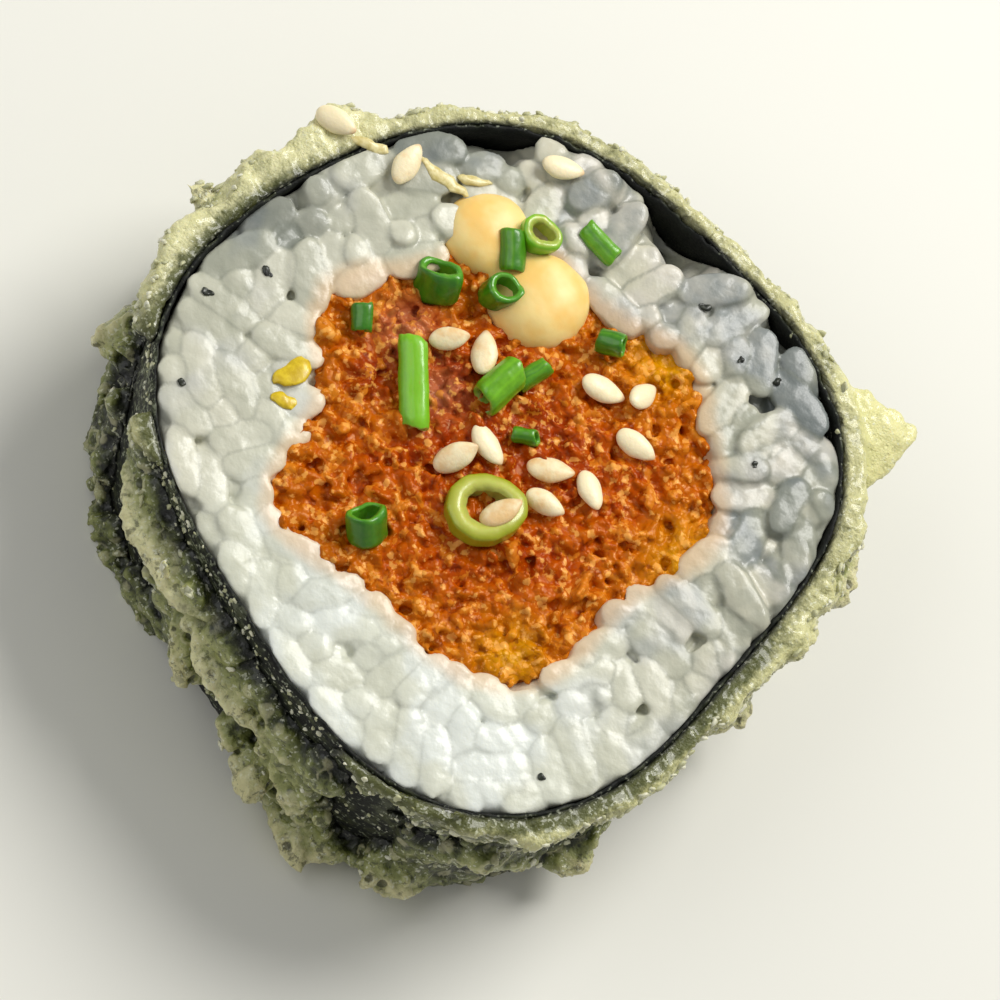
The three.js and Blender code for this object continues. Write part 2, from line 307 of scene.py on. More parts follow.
def overPieces(pieces):
    # gives a function for the heights of the pieces at a place on the face and round it
    trees = rayTrees(pieces)
    around, startHeight = 8, 30

    def heightAt(x, y, reach=0.0):
        heights = []
        for i in range(around + 1 if reach else 1):
            out, angle = reach if i else 0, i * turn / around
            place = Vector((x + out * math.cos(angle), y + out * math.sin(angle), startHeight)) * mm
            hits = [tree.ray_cast(place, Vector((0, 0, -1)))[0] for tree in trees]
            heights += [hit.z / mm for hit in hits if hit]
        return heights

    return heightAt


def nearTree(points):
    tree = KDTree(len(points))
    for i, place in enumerate(points):
        tree.insert(place, i)
    tree.balance()
    return tree


def nearestValue(points, source, values):
    # the value of whichever source point lies nearest
    tree = nearTree(source)
    return values[[tree.find(point)[1] for point in points]]


def discShape(columns, rings, radiusAt, topAt, bottomAt):
    # a closed round slab: points and faces, its middle point on each side last
    angle = np.tile(np.arange(columns) / columns * turn, rings)
    share = np.repeat(np.linspace(0.004, 1, rings) ** 0.8, columns)
    flat = onWall(angle, share * radiusAt(angle), 0 * angle)
    top, bottom = flat.copy(), flat.copy()
    top[:, 2], bottom[:, 2] = topAt(flat, share), bottomAt(flat, share)
    bottom = rowsReversed(bottom, rings)
    points = np.vstack([top, bottom, top[:1] * (0, 0, 1), bottom[-1:] * (0, 0, 1)])
    faces = [tuple(face[::-1]) for face in gridFaces(2 * rings, columns, False, True)]
    last = (2 * rings - 1) * columns
    for i in range(columns):
        after = (i + 1) % columns
        faces.append((len(points) - 2, i, after))
        faces.append((len(points) - 1, last + after, last + i))
    return points, faces


def makePiece(name, mesh, paint, replaces=()):
    piece = newObject(name, mesh)
    mesh.materials.clear()
    mesh.materials.append(paint)
    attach(piece, "root")
    if replaces:
        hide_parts(*replaces)
    return piece


def rgb(red, green, blue):
    # a colour picked on screen, as the shader's own linear light
    shares = [part / 255 for part in (red, green, blue)]
    return tuple(((part + 0.055) / 1.055) ** 2.4 if part > 0.04 else part / 12.92 for part in shares) + (1,)


class Wire:
    # one socket that can be added, multiplied and so on
    def __init__(self, paint, socket):
        self.paint, self.socket = paint, socket

    def reckon(self, operation, first, second=0.0):
        return self.paint.node("Math", {"operation": operation}, {0: first, 1: second})

    def __add__(self, other):
        return self.reckon("ADD", self, other)

    def __radd__(self, other):
        return self.reckon("ADD", other, self)

    def __sub__(self, other):
        return self.reckon("SUBTRACT", self, other)

    def __rsub__(self, other):
        return self.reckon("SUBTRACT", other, self)

    def __mul__(self, other):
        return self.reckon("MULTIPLY", self, other)

    def __rmul__(self, other):
        return self.reckon("MULTIPLY", other, self)

    def between(self, low, high):
        # 0 below low, 1 above high, and a soft step from one to the other
        limits = {"Value": self, "From Min": low, "From Max": high}
        return self.paint.node("MapRange", {"interpolation_type": "SMOOTHSTEP"}, limits)


class Paint:
    # one material's nodes
    def __init__(self, name):
        self.material = bpy.data.materials.new(name)
        self.material.use_nodes = True
        self.tree = self.material.node_tree
        self.tree.nodes.clear()
        self.place = self.node("TexCoord", {}, {}, out="Object")

    def node(self, kind, settings, sockets, out=0):
        made = self.tree.nodes.new("ShaderNode" + kind)
        for setting, value in settings.items():
            if setting == "stops":
                for i, (at, colour) in enumerate(value):
                    stop = made.color_ramp.elements[i] if i < 2 else made.color_ramp.elements.new(at)
                    stop.position, stop.color = at, colour
            else:
                setattr(made, setting, value)
        for socket, value in sockets.items():
            if isinstance(value, Wire):
                self.tree.links.new(value.socket, made.inputs[socket])
            else:
                made.inputs[socket].default_value = value
        return Wire(self, made.outputs[out]) if made.outputs else None

    def mark(self, name):
        return self.node("Attribute", {"attribute_name": name}, {}, out="Fac")

    def mix(self, first, second, share):
        return self.node("Mix", {"data_type": "RGBA"}, {0: share, 6: first, 7: second}, out=2)

    def noise(self, size, detail=3.0, roughness=0.55, distortion=0.0):
        # size is the distance in mm from one lump to the next
        return self.node(
            "TexNoise",
            {"noise_dimensions": "3D"},
            {
                "Vector": self.place,
                "Scale": 1 / (size * mm),
                "Detail": detail,
                "Roughness": roughness,
                "Distortion": distortion,
            },
        )

    def cells(self, size):
        # 0 in the middle of each cell, rising to its edge
        return self.node("TexVoronoi", {}, {"Vector": self.place, "Scale": 1 / (size * mm)})

    def bump(self, height, distance, strength=1.0, under=None):
        sockets = {"Height": height, "Distance": distance * mm, "Strength": strength}
        if under is not None:
            sockets["Normal"] = under
        return self.node("Bump", {}, sockets)

    def finish(self, sockets):
        shader = self.node("BsdfPrincipled", {}, sockets)
        self.node("OutputMaterial", {}, {"Surface": shader})
        return self.material


def softLight(weight, tint, reach):
    # how much light sinks in, how far in red, green and blue, and the reach in mm
    return {"Subsurface Weight": weight, "Subsurface Radius": tint, "Subsurface Scale": reach * mm}


# the fried batter round the roll

batter = {
    "coat": 0.6,
    "thinnest": 0.35,
    "lumps": 110,
    "lumpHeight": 0.8,
    "lumpReach": 1.9,
    "waves": [(1, 0.25, -85), (2, 0.25, 50), (3, 0.15, 160)],
    # angle round the roll, height up it, rise off the skin, length, width, slope from level
    "ridges": [
        (-122, 12.4, 1.7, 12, 1.5, 6),
        (-98, 10.8, 1.6, 9, 1.7, -14),
        (-82, 5.2, 2.4, 7, 3, 30),
        (-60, 3, 2.2, 6, 2.4, -12),
        (-44, 8.6, 1.3, 6.5, 1.7, -35),
        (-14, 12.8, 1, 8, 2, 10),
        (6, 4.6, 1.7, 7.5, 2.2, 22),
        (28, 12.6, 1.8, 8.5, 2.4, 4),
        (46, 6.4, 1.5, 6, 1.8, -40),
        (78, 9.6, 1.2, 8, 1.5, 15),
        (104, 4.4, 1.9, 7, 2.3, -20),
        (136, 8.2, 1.6, 7, 1.8, 38),
        (158, 14.2, 1.6, 9, 1.8, -5),
        (176, 5.6, 2, 6, 2.2, -28),
        (-156, 9.4, 1.4, 8, 1.6, 26),
    ],
    # angle, height, reach out of the skin, length along it, thickness, slope
    "flakes": [
        (49, 14.3, 5.4, 8, 1.7, 6),
        (180, 13.9, 3, 4, 1.5, 20),
        (-106, 7.8, 2.6, 7, 2, -28),
        (-71, 1.9, 3.4, 6.5, 2.6, 8),
        (-30, 3.4, 2.4, 6, 1.9, 16),
        (94, 11.4, 2.3, 5, 1.6, -20),
    ],
    # the crust's width at the upper rim: angle, width
    "rim": [
        (-180, 2.1),
        (-165, 1.6),
        (-152, 0.6),
        (-140, 0.3),
        (-104, 0.3),
        (-84, 0.7),
        (-66, 0.8),
        (-46, 1.4),
        (-10, 1.4),
        (14, 2.2),
        (36, 1.8),
        (60, 1.3),
        (95, 1.1),
        (148, 1.3),
        (157, 2.9),
        (168, 2.3),
        (180, 2.1),
    ],
    # where the seaweed shows through: angle, height, half its length round the roll, half its height
    "bare": [
        (-116, 15.2, 8.5, 1.5),
        (-84, 14.2, 5.5, 2.4),
        (-66, 9.0, 2.8, 7.0),
        (-112, 8.6, 5.0, 1.4),
        (-147, 12.8, 4.6, 3.4),
        (-132, 5.4, 5.5, 4.4),
        (-96, 2.6, 4.2, 2.4),
        (-100, 0.8, 6.0, 1.6),
        (-34, 6.4, 2.6, 1.5),
        (-6, 8.6, 3.6, 1.6),
        (20, 8.6, 4.0, 1.5),
        (62, 10.6, 3.4, 1.6),
        (88, 6.0, 3.6, 1.5),
        (120, 10.8, 3.6, 2.0),
        (120, 2.6, 3.0, 1.4),
        (160, 9.8, 3.2, 1.6),
        (-170, 11.4, 2.6, 1.8),
    ],
    "noiseRadius": 23.0,       # where round the roll the noises of its wall are read
    "columns": 700,
    "rows": 84,
    "wholeRidges": 2,          # how many of the ridges, from the first, stay whole and pale
    "crumbs": 150,
    "strands": 80,
    "blisters": 70,
    "frost": 1000,
    "frostAtRim": 0.45,        # the share of it that lies along the upper rim
    "bubbles": 1000,
    "frothFrom": 22.0,         # the least distance of a bubble from the roll's axis
    "voxel": 0.21,
    "keep": 0.6,               # the share of faces left when the hidden side is thinned
}


def batterRidges():
    return [
        (math.radians(angle), height, rise, length, width, math.radians(slope))
        for angle, height, rise, length, width, slope in batter["ridges"]
    ]


def batterBumps():
    draw = drawer(11)
    bumps = []
    for _ in range(batter["lumps"]):
        angle = turn * draw()
        height = roll["height"] * draw()
        rise = batter["lumpHeight"] * (0.3 + 0.7 * draw())
        length = 2 * batter["lumpReach"] * (0.6 + 0.9 * draw())
        width = 2 * batter["lumpReach"] * (0.5 + 0.5 * draw())
        bumps.append((angle, height, rise, length, width, math.pi * draw()))
    return bumps + batterRidges()


def aroundFrom(angle, centre):
    # mm round the roll from one angle to another
    return ((angle - centre + math.pi) % turn - math.pi) * roll["radius"]


def degreesFrom(angle, centre):
    # degrees round the roll from a place that is given in degrees
    degreesInRadian = 57.3
    return np.abs(aroundFrom(angle, math.radians(centre))) / roll["radius"] * degreesInRadian


def bumpAt(angle, height, bump):
    # 1 on a lump's or ridge's top, 0 away from it
    centre, level, _, length, width, slope = bump
    around, up = aroundFrom(angle, centre), height - level
    along = (around * math.cos(slope) + up * math.sin(slope)) / (length / 2)
    across = (up * math.cos(slope) - around * math.sin(slope)) / (width / 2)
    return np.exp(-along ** 2 - across ** 2)


def coatAt(angle, height, bumps):
    # the coat's thickness, as in the solids
    thickness = batter["coat"] + waveSum(batter["waves"], angle)
    for bump in bumps:
        thickness = thickness + bump[2] * bumpAt(angle, height, bump)
    return np.maximum(batter["thinnest"], thickness)


def creamAt(angle, height):
    # the pale ridge below the rim, whole where other ridges break up
    crests = batterRidges()[:batter["wholeRidges"]]
    return smoothStep(0.08, 0.6, np.max([bumpAt(angle, height, crest) for crest in crests], axis=0))


def bareAt(angle, height):
    # 1 where no batter stuck to the seaweed
    place = onWall(angle, batter["noiseRadius"], height)
    ragged = 0.55 * layeredNoise(place, 2.6, 4, 9)
    bare = noiseAt(place * (1, 1, 0.75), 5.2, 14) * 1.1 + 0.15
    for centre, level, halfLength, halfHeight in batter["bare"]:
        around, up = aroundFrom(angle, math.radians(centre)), height - level
        bare = np.maximum(bare, 1.5 * np.exp(-(around / halfLength) ** 2 - (up / halfHeight) ** 2) - 0.05)
    return smoothStep(0.34, 0.72, bare + ragged) * (1 - creamAt(angle, height))


def rimWidthAt(angle):
    stops, widths = zip(*batter["rim"])
    return np.interp((np.degrees(angle) + 180) % 360 - 180, stops, widths)


def batterShell(heap, bumps):
    columns, rows = batter["columns"], batter["rows"]
    angle, share = np.meshgrid(np.arange(columns) / columns * turn, np.linspace(0, 1, rows))
    angle, share = angle.ravel(), share.ravel()
    around = onWall(angle, batter["noiseRadius"], 0 * angle)
    rim = roll["height"] - 0.02 + 0.12 * np.sin(5 * angle) + 0.1 * np.sin(11 * angle + 1)
    rim = rim + 0.24 * layeredNoise(around, 1.9, 4, 3)
    height = share * rim
    place = onWall(angle, batter["noiseRadius"], height)
    coat = coatAt(angle, height, bumps) + 0.26 * layeredNoise(place, 2.6, 3, 5)
    bare = bareAt(angle, height)
    lace = np.abs(noiseAt(place, 1.5, 17)) * 2 - 0.55      # thin threads across the edges of the bare patches
    coat = coat * (1 - bare) - 0.3 * bare - 0.25 * lace * bare * (1 - bare) * 4
    width = rimWidthAt(angle)
    ragged = width * (1 + 0.45 * layeredNoise(place * (1, 1, 1.6), 3.1, 4, 7))
    covered = smoothStep(12.6, 15.2, height) * smoothStep(0.6, 1.0, width)
    coat = coat + covered * (np.maximum(ragged, 0.5 * coat) - coat)
    inner = noriRadiusAt(angle) + 0.08
    outer = np.maximum(inner, inner + 0.12 + coat)
    outer = np.where(outer - inner < 0.26, inner, outer)
    outer = outer - 0.3 * smoothStep(0.96, 1, share)
    outside = onWall(angle, np.maximum(outer, inner), height)
    inside = rowsReversed(onWall(angle, inner, height), rows)
    heap.add(np.vstack([outside, inside]), gridFaces(2 * rows, columns, True, True))


def batterFlakes(heap):
    points, faces = ballShape(26, 22)
    for i, (angle, height, reach, length, thickness, slope) in enumerate(batter["flakes"]):
        plate = np.sign(points) * np.abs(points) ** (0.7, 1, 1)
        # the first is the smooth flap at the rim
        taper, rough = (0.62, (0.55, 0.8, 0.2)) if i == 0 else (0.5, (0.6, 0.6, 0.35))
        side = 1 - taper * np.maximum(0, plate[:, :1])
        plate = plate * (reach, length / 2, thickness / 2) * np.hstack([np.ones_like(side), side, side])
        ragged = layeredNoise(plate, 1.9, 3, 40 + i)[:, None] * rough
        plate = turned(plate + ragged, twist=slope, heading=angle)
        radius = noriRadiusAt(math.radians(angle)) + batter["coat"]
        heap.add(plate + onWall(math.radians(angle), radius, height), faces)


def flapAt(points):
    # 1 on the smooth flap that stands out at the rim
    angle, _, _, length, _, _ = batter["flakes"][0]
    heading, out = polar(points)
    outward = smoothStep(1.0, 2.2, out - noriRadiusAt(heading))
    around = np.abs(aroundFrom(heading, math.radians(angle)))
    return outward * smoothStep(0.62 * length, 0.45 * length, around) * (points[:, 2] > 11.5)


def batterScraps(heap, bumps):
    # crumbs, strands and blisters that set on the coat as it fried
    chance = np.random.default_rng(17)
    points, faces = ballShape(12, 10)
    crumbs, strands, blisters = batter["crumbs"], batter["strands"], batter["blisters"]
    for i in range(crumbs + strands + blisters):
        angle, height = chance.uniform(0, turn), chance.uniform(0.6, roll["height"] - 0.4)
        bare = bareAt(np.array([angle]), np.array([height]))[0]
        coat = coatAt(np.array([angle]), height, bumps)[0] * (1 - bare)
        skin = noriRadiusAt(angle) + roll["gap"] + coat
        if i < crumbs:
            bulk = chance.uniform(0.3, 0.75)
            size = bulk * np.array([chance.uniform(0.4, 0.7), chance.uniform(0.8, 1.6), 0.8])
        elif i < crumbs + strands:
            size = np.array([0.26, chance.uniform(1.4, 3.4), 0.26]) * chance.uniform(0.8, 1.2)
            skin = skin - 0.22
        else:
            size = chance.uniform(0.45, 1.1) * np.array([0.75, 1.0, 1.0])
            skin = skin - 0.25 * size[1]
        if bare > 0.5 and i >= crumbs + strands:
            continue
        bit = points * size
        bit = bit + layeredNoise(bit + 9.1 * i, 0.9, 2, 60)[:, None] * (0.2, 0.3, 0.2) * min(1.0, size[0] * 2)
        bit[:, 2] += 0.12 * chance.normal() * bit[:, 1] ** 2
        bit = turned(bit, chance.uniform(-70, 70), chance.uniform(-15, 15), math.degrees(angle))
        bit = bit + onWall(angle, skin, height)
        heap.add(bit, faces)


def batterPaint():
    # darkest where it is thin over the seaweed, cream on the crests and olive between; the crests are also
    # painted lighter and the folds darker, as painted highlight and shade
    paint = Paint("fried batter")
    fine = paint.noise(0.42, 4, 0.65)
    broad = paint.noise(2.4, 4, 0.55, 0.4)
    crest, froth, rim = paint.mark("crest"), paint.mark("froth"), paint.mark("rim")
    # the crest term paints highlight on the crests and shade in the folds
    thick = paint.mark("thick") + 1.4 * (broad - 0.5) + 1.2 * (fine - 0.5) + 0.75 * crest
    colour = paint.node(
        "ValToRGB",
        {
            "stops": [
                (0.0, rgb(8, 11, 6)),
                (0.14, rgb(20, 25, 10)),
                (0.3, rgb(60, 66, 26)),
                (0.48, rgb(114, 121, 60)),
                (0.7, rgb(162, 166, 102)),
                (1.0, rgb(216, 210, 158)),
            ]
        },
        {"Fac": thick * 0.33},
    )
    mottle = paint.noise(0.75, 4, 0.7, 0.3)
    colour = paint.mix(colour, rgb(34, 40, 16), 0.62 * mottle.between(0.53, 0.62) * (1 - 0.5 * rim))
    pale = (froth + 0.7 * (fine - 0.5)).between(0.4, 1.1)
    colour = paint.mix(colour, rgb(222, 217, 172), 0.45 * pale)
    colour = paint.mix(colour, rgb(26, 30, 11), 0.7 * (0.8 * (0.5 - fine) - froth).between(0.2, 0.8))
    near = 1 - paint.mark("far")
    # the rim is painted lighter on its crests and on the far side, where the light comes from, as painted
    # highlight
    rimTone = 0.7 * broad + 0.8 * fine + 0.3 * crest + 0.2 * paint.mark("far")
    rimTone = rimTone + 0.7 * near * (paint.mark("thick").between(0.5, 1.9) - 0.6)
    rimColour = paint.mix(rgb(92, 96, 42), rgb(222, 218, 160), rimTone.between(0.5, 1.12))
    colour = paint.mix(colour, rimColour, 0.85 * rim)
    colour = paint.mix(colour, rgb(232, 228, 160), 0.75 * paint.mark("flap"))
    cream = paint.mark("cream") * (0.5 * fine + 0.7 * mottle).between(0.75, 0.45)
    colour = paint.mix(colour, rgb(234, 230, 178), 0.9 * cream)
    speckle = paint.noise(0.3, 2, 0.5).between(0.58, 0.67) * crest.between(-0.4, 0.5)
    colour = paint.mix(colour, rgb(228, 230, 204), 0.7 * speckle)
    pits = paint.cells(0.55).between(0.04, 0.3)
    return paint.finish(
        {
            "Base Color": colour,
            "Roughness": 0.28 + 0.25 * fine,
            "IOR": 1.47,
            **softLight(0.12, (1.0, 0.8, 0.35), 0.6),
            "Coat Weight": 0.45,
            "Coat Roughness": 0.12,
            "Normal": paint.bump(0.35 * pits + fine + 0.5 * paint.noise(0.16, 2, 0.5), 0.16, 0.9),
        }
    )


def frostPaint():
    paint = Paint("frosty crumbs")
    fine = paint.noise(0.3, 3, 0.6)
    pale = (paint.mark("tone") + fine - 0.5).between(0.2, 0.9)
    colour = paint.mix(rgb(190, 190, 150), rgb(228, 226, 200), pale)
    return paint.finish(
        {
            "Base Color": colour,
            "Roughness": 0.35 + 0.3 * fine,
            **softLight(0.3, (1.0, 0.9, 0.6), 0.4),
            "Normal": paint.bump(fine, 0.06, 0.7),
        }
    )


def makeFrost(pieces):
    # the smallest crumbs, on batter and seaweed alike, closest together along the upper rim
    trees = rayTrees(pieces)
    chance = np.random.default_rng(23)
    points, faces = ballShape(7, 6)
    heap = Heap()
    for i in range(batter["frost"]):
        atRim = chance.random() < batter["frostAtRim"]
        angle, height = chance.uniform(0, turn), chance.uniform(14.0 if atRim else 0.4, 15.9)
        size = chance.uniform(0.09, 0.34 if atRim else 0.26)
        size = size * np.array([0.6, chance.uniform(0.8, 2.0), chance.uniform(0.7, 1.3)])
        bit = points * size
        bit = bit + points * (0.13 * layeredNoise(bit + 4.7 * i, 0.3, 2, 64))[:, None]
        heading = math.degrees(angle) + chance.uniform(-40, 40)
        bit = turned(bit, chance.uniform(0, 360), chance.uniform(-30, 30), heading)
        tone = chance.random()
        outward = Vector((math.cos(angle), math.sin(angle), 0))
        start = (outward * 32 + Vector((0, 0, height))) * mm
        hits = [hit for hit in (tree.ray_cast(start, -outward) for tree in trees) if hit[0]]
        if hits:
            place = np.array(min(hits, key=lambda hit: hit[3])[0]) / mm
            depth = np.hypot(*place[:2]) - noriRadiusAt(angle)
            if depth > -0.1 and flapAt(place[None])[0] < 0.3:
                heap.add(bit * (0.6 if depth < 0.5 else 1.0) + place, faces, tone=tone)
    makePiece("batterCrumbs", heap.mesh("batterCrumbs"), frostPaint(), ["batter"])


def frothAt(points, chance):
    # round blisters, and pits with a raised rim where one burst, each from 0.5 to 1.4 mm wide
    shown = np.flatnonzero(polar(points)[1] > batter["frothFrom"])
    centres = points[chance.choice(shown, batter["bubbles"], replace=False)]
    radius = chance.uniform(0.25, 0.7, batter["bubbles"])
    burst = chance.random(batter["bubbles"]) < 0.42
    tree = nearTree(centres)
    froth = np.zeros(len(points))
    for i, point in enumerate(points):
        _, nearest, away = tree.find(point)
        share = away / radius[nearest]
        if share < 1.35:
            if burst[nearest]:
                lip = 0.9 * math.exp(-((share - 0.95) / 0.28) ** 2)
                froth[i] = radius[nearest] * (lip - 1.5 * max(0, 1 - share * 1.25))
            elif share < 1:
                froth[i] = radius[nearest] * math.sqrt(1 - share * share)
    return froth


def makeBatter():
    bumps = batterBumps()
    heap = Heap()
    batterShell(heap, bumps)
    batterFlakes(heap)
    batterScraps(heap, bumps)
    mesh = withoutScraps(remeshed(heap.mesh("batterRaw"), batter["voxel"]), 2000)
    angle, out = polar(pointsOf(mesh))
    mesh = thinned(mesh, out - noriRadiusAt(angle) < 0.2, batter["keep"])
    points, normals = pointsOf(mesh), normalsOf(mesh)
    flow = points * (1, 1, 1.7)
    folds = 1 - 2.4 * np.abs(noiseAt(flow, 2.4, 21))
    wrinkles = 1 - 2.4 * np.abs(noiseAt(flow, 1.1, 27))
    swell = 0.15 * folds + 0.1 * wrinkles + 0.12 * layeredNoise(points, 0.75, 2, 33) - 0.06
    froth = frothAt(points, np.random.default_rng(29))
    angle, out = polar(points)
    depth = out - noriRadiusAt(angle)
    flap = flapAt(points)
    leftCrust = smoothStep(34, 22, degreesFrom(angle, 172)) * smoothStep(12.0, 14.5, points[:, 2])
    rim = smoothStep(14.5, 15.6, points[:, 2]) * smoothStep(0.1, 0.5, depth)
    fine = 0.07 * layeredNoise(points, 0.5, 2, 37)
    swell = (swell * (1 - 0.5 * flap) * (1 - 0.6 * rim) + fine * rim) * smoothStep(0.1, 0.6, depth)
    froth = froth * smoothStep(0.1, 0.6, depth) * (1 - 0.85 * flap) * (1 - 0.5 * rim)
    points = points + normals * (swell + 0.26 * froth)[:, None]
    points[:, 2] = np.maximum(points[:, 2], 0.02)
    setPoints(mesh, points)
    setMark(mesh, "flap", flap)
    setMark(mesh, "cream", np.maximum(creamAt(angle, points[:, 2]), leftCrust) * smoothStep(0.5, 1.1, depth))
    setMark(mesh, "rim", rim)
    # far is 1 on the far side, where the light comes from; the rim is painted lighter there
    setMark(mesh, "far", smoothStep(-4, 12, points[:, 1]))
    setMark(mesh, "thick", depth)
    setMark(mesh, "crest", swell / 0.25)
    setMark(mesh, "froth", froth / 0.45)
    print("batter coat:", len(mesh.polygons), "faces")
    return makePiece("batterCoat", mesh, batterPaint(), ["batter"])


# the seaweed sheet

nori = {
    "outside": 0.12,           # how far its faces lie out of and in from the roll's own outline
    "inside": 0.32,
    "noiseRadius": 22.0,
    "columns": 520,
    "rows": 26,
}


def noriPaint():
    paint = Paint("toasted seaweed")
    fine = paint.noise(0.35, 4, 0.65)
    streaks = paint.noise(1.8, 4, 0.6, 0.6)
    outside = paint.mark("outside")
    colour = paint.mix(rgb(4, 6, 4), rgb(18, 24, 14), streaks.between(0.35, 0.75))
    colour = paint.mix(colour, rgb(40, 46, 32), 0.35 * fine.between(0.62, 0.8) * outside)
    glaze = paint.noise(1.2, 4, 0.6).between(0.46, 0.66) * outside
    colour = paint.mix(colour, rgb(66, 72, 38), 0.7 * glaze)
    mottled = paint.noise(0.5, 4, 0.7, 0.5).between(0.52, 0.6) * paint.mark("mottle")
    colour = paint.mix(colour, rgb(140, 146, 120), 0.8 * mottled)
    frost = paint.noise(0.3, 2, 0.5).between(0.6, 0.68) * outside
    colour = paint.mix(colour, rgb(172, 178, 156), 0.65 * frost)
    return paint.finish(
        {
            "Base Color": colour,
            "Roughness": 0.5 + 0.3 * fine,
            "Specular IOR Level": 0.35,
            "Coat Weight": 0.3 * glaze,
            "Coat Roughness": 0.15,
            "Normal": paint.bump(fine + streaks, 0.14, 0.9),
        }
    )


def makeNori():
    columns, rows = nori["columns"], nori["rows"]
    angle, share = np.meshgrid(np.arange(columns) / columns * turn, np.linspace(0, 1, rows))
    angle, share = angle.ravel(), share.ravel()
    circle = onWall(angle, nori["noiseRadius"], 0 * angle)
    rim = roll["height"] - 0.12 + 0.1 * np.sin(3 * angle) + 0.3 * layeredNoise(circle, 1.0, 3, 71)
    height = 0.04 + share * (rim - 0.04)
    crinkle = 0.1 * layeredNoise(onWall(angle, nori["noiseRadius"], height), 1.2, 3, 75)
    edge = 0.12 * smoothStep(0.97, 1, share) + 0.1 * smoothStep(0.03, 0, share)
    outside = onWall(angle, noriRadiusAt(angle) + nori["outside"] + crinkle - edge, height)
    inside = onWall(angle, noriRadiusAt(angle) - nori["inside"] + crinkle + edge, height)
    points = np.vstack([outside, rowsReversed(inside, rows)])
    shown = np.concatenate([np.ones(len(outside)), np.zeros(len(inside))])
    leftSide = smoothStep(36, 14, degreesFrom(angle, -132))
    mottle = shown * np.tile(leftSide * smoothStep(9, 13, height), 2)
    marks = {"outside": shown, "mottle": mottle}
    mesh = makeMesh("noriSheet", points, gridFaces(2 * rows, columns, True, True), marks)
    print("seaweed: made")
    return makePiece("noriSheet", mesh, noriPaint(), ["nori"])


# sushi rice: the grains of both cut faces, pressed into one moist mass round a core

rice = {
    "length": 5.2,
    "width": 2.6,
    "depth": 2.4,
    "top": 232,                # grains in the upper face
    "bottom": 96,
    "topSpan": (11.6, 17.0),   # the levels between which its grains are packed
    "bottomSpan": (0.0, 4.2),
    "core": (2.2, 14.6),       # the core's lower and upper face
    "faceFloor": 11.4,         # where the upper piece of it ends below, and the lower piece above
    "bodyRoof": 12.2,
    "rounds": 100,             # of pushing the grains apart
    "cut": 15.75,              # the knife's level on the tightly pressed side
    "looseCut": 16.1,          # and on the looser side
    "voxel": 0.18,
    "keep": 0.5,               # the share of faces left when the hidden sides are thinned
    "bodyVoxel": 0.3,
    "bodyKeep": 0.4,
    # hollows by the seaweed: angle, distance in from it, radius
    "pockets": [
        (134, 0.5, 1.4),
        (128, 0.6, 1.6),
        (96, 0.9, 1.8),
        (90, 0.9, 1.9),
        (67, 0.4, 1.2),
        (52, 0.3, 1.0),
    ],
    # where clear, greyer grains lie by the seaweed, their grey partly painted shade: x, y, reach
    "clear": [(-21.6, 1.8, 3.4), (-16.3, 13.3, 2.3), (11.3, 17.7, 2.1), (16.6, 10.3, 1.9)],
    # plump grains that reach over the filling: x, y, length, heading, rise
    "placed": [
        (2.2, -14.0, 4.4, 20, 20),
        (2.6, -15.2, 4.4, 35, 10),
        (-11.9, -9.2, 4.8, 160, 20),
        (7.7, -14.2, 4.2, 85, 15),
        (14.1, -7.0, 4.2, 140, 15),
        (14.9, -0.9, 4.8, 10, 10),
        (11.3, 12.3, 4.6, 30, 15),
        (-14.4, 2.6, 4.4, 75, 10),
        (12.9, 13.8, 4.2, 120, 10),
        (14.8, -17.0, 4.4, 41, 5),
    ],
}


def pocketPlaces():
    places = []
    for angle, inset, size in rice["pockets"]:
        radius = noriRadiusAt(math.radians(angle)) - nori["inside"] - inset
        places.append((onWall(math.radians(angle), radius, 15.0), size))
    return places


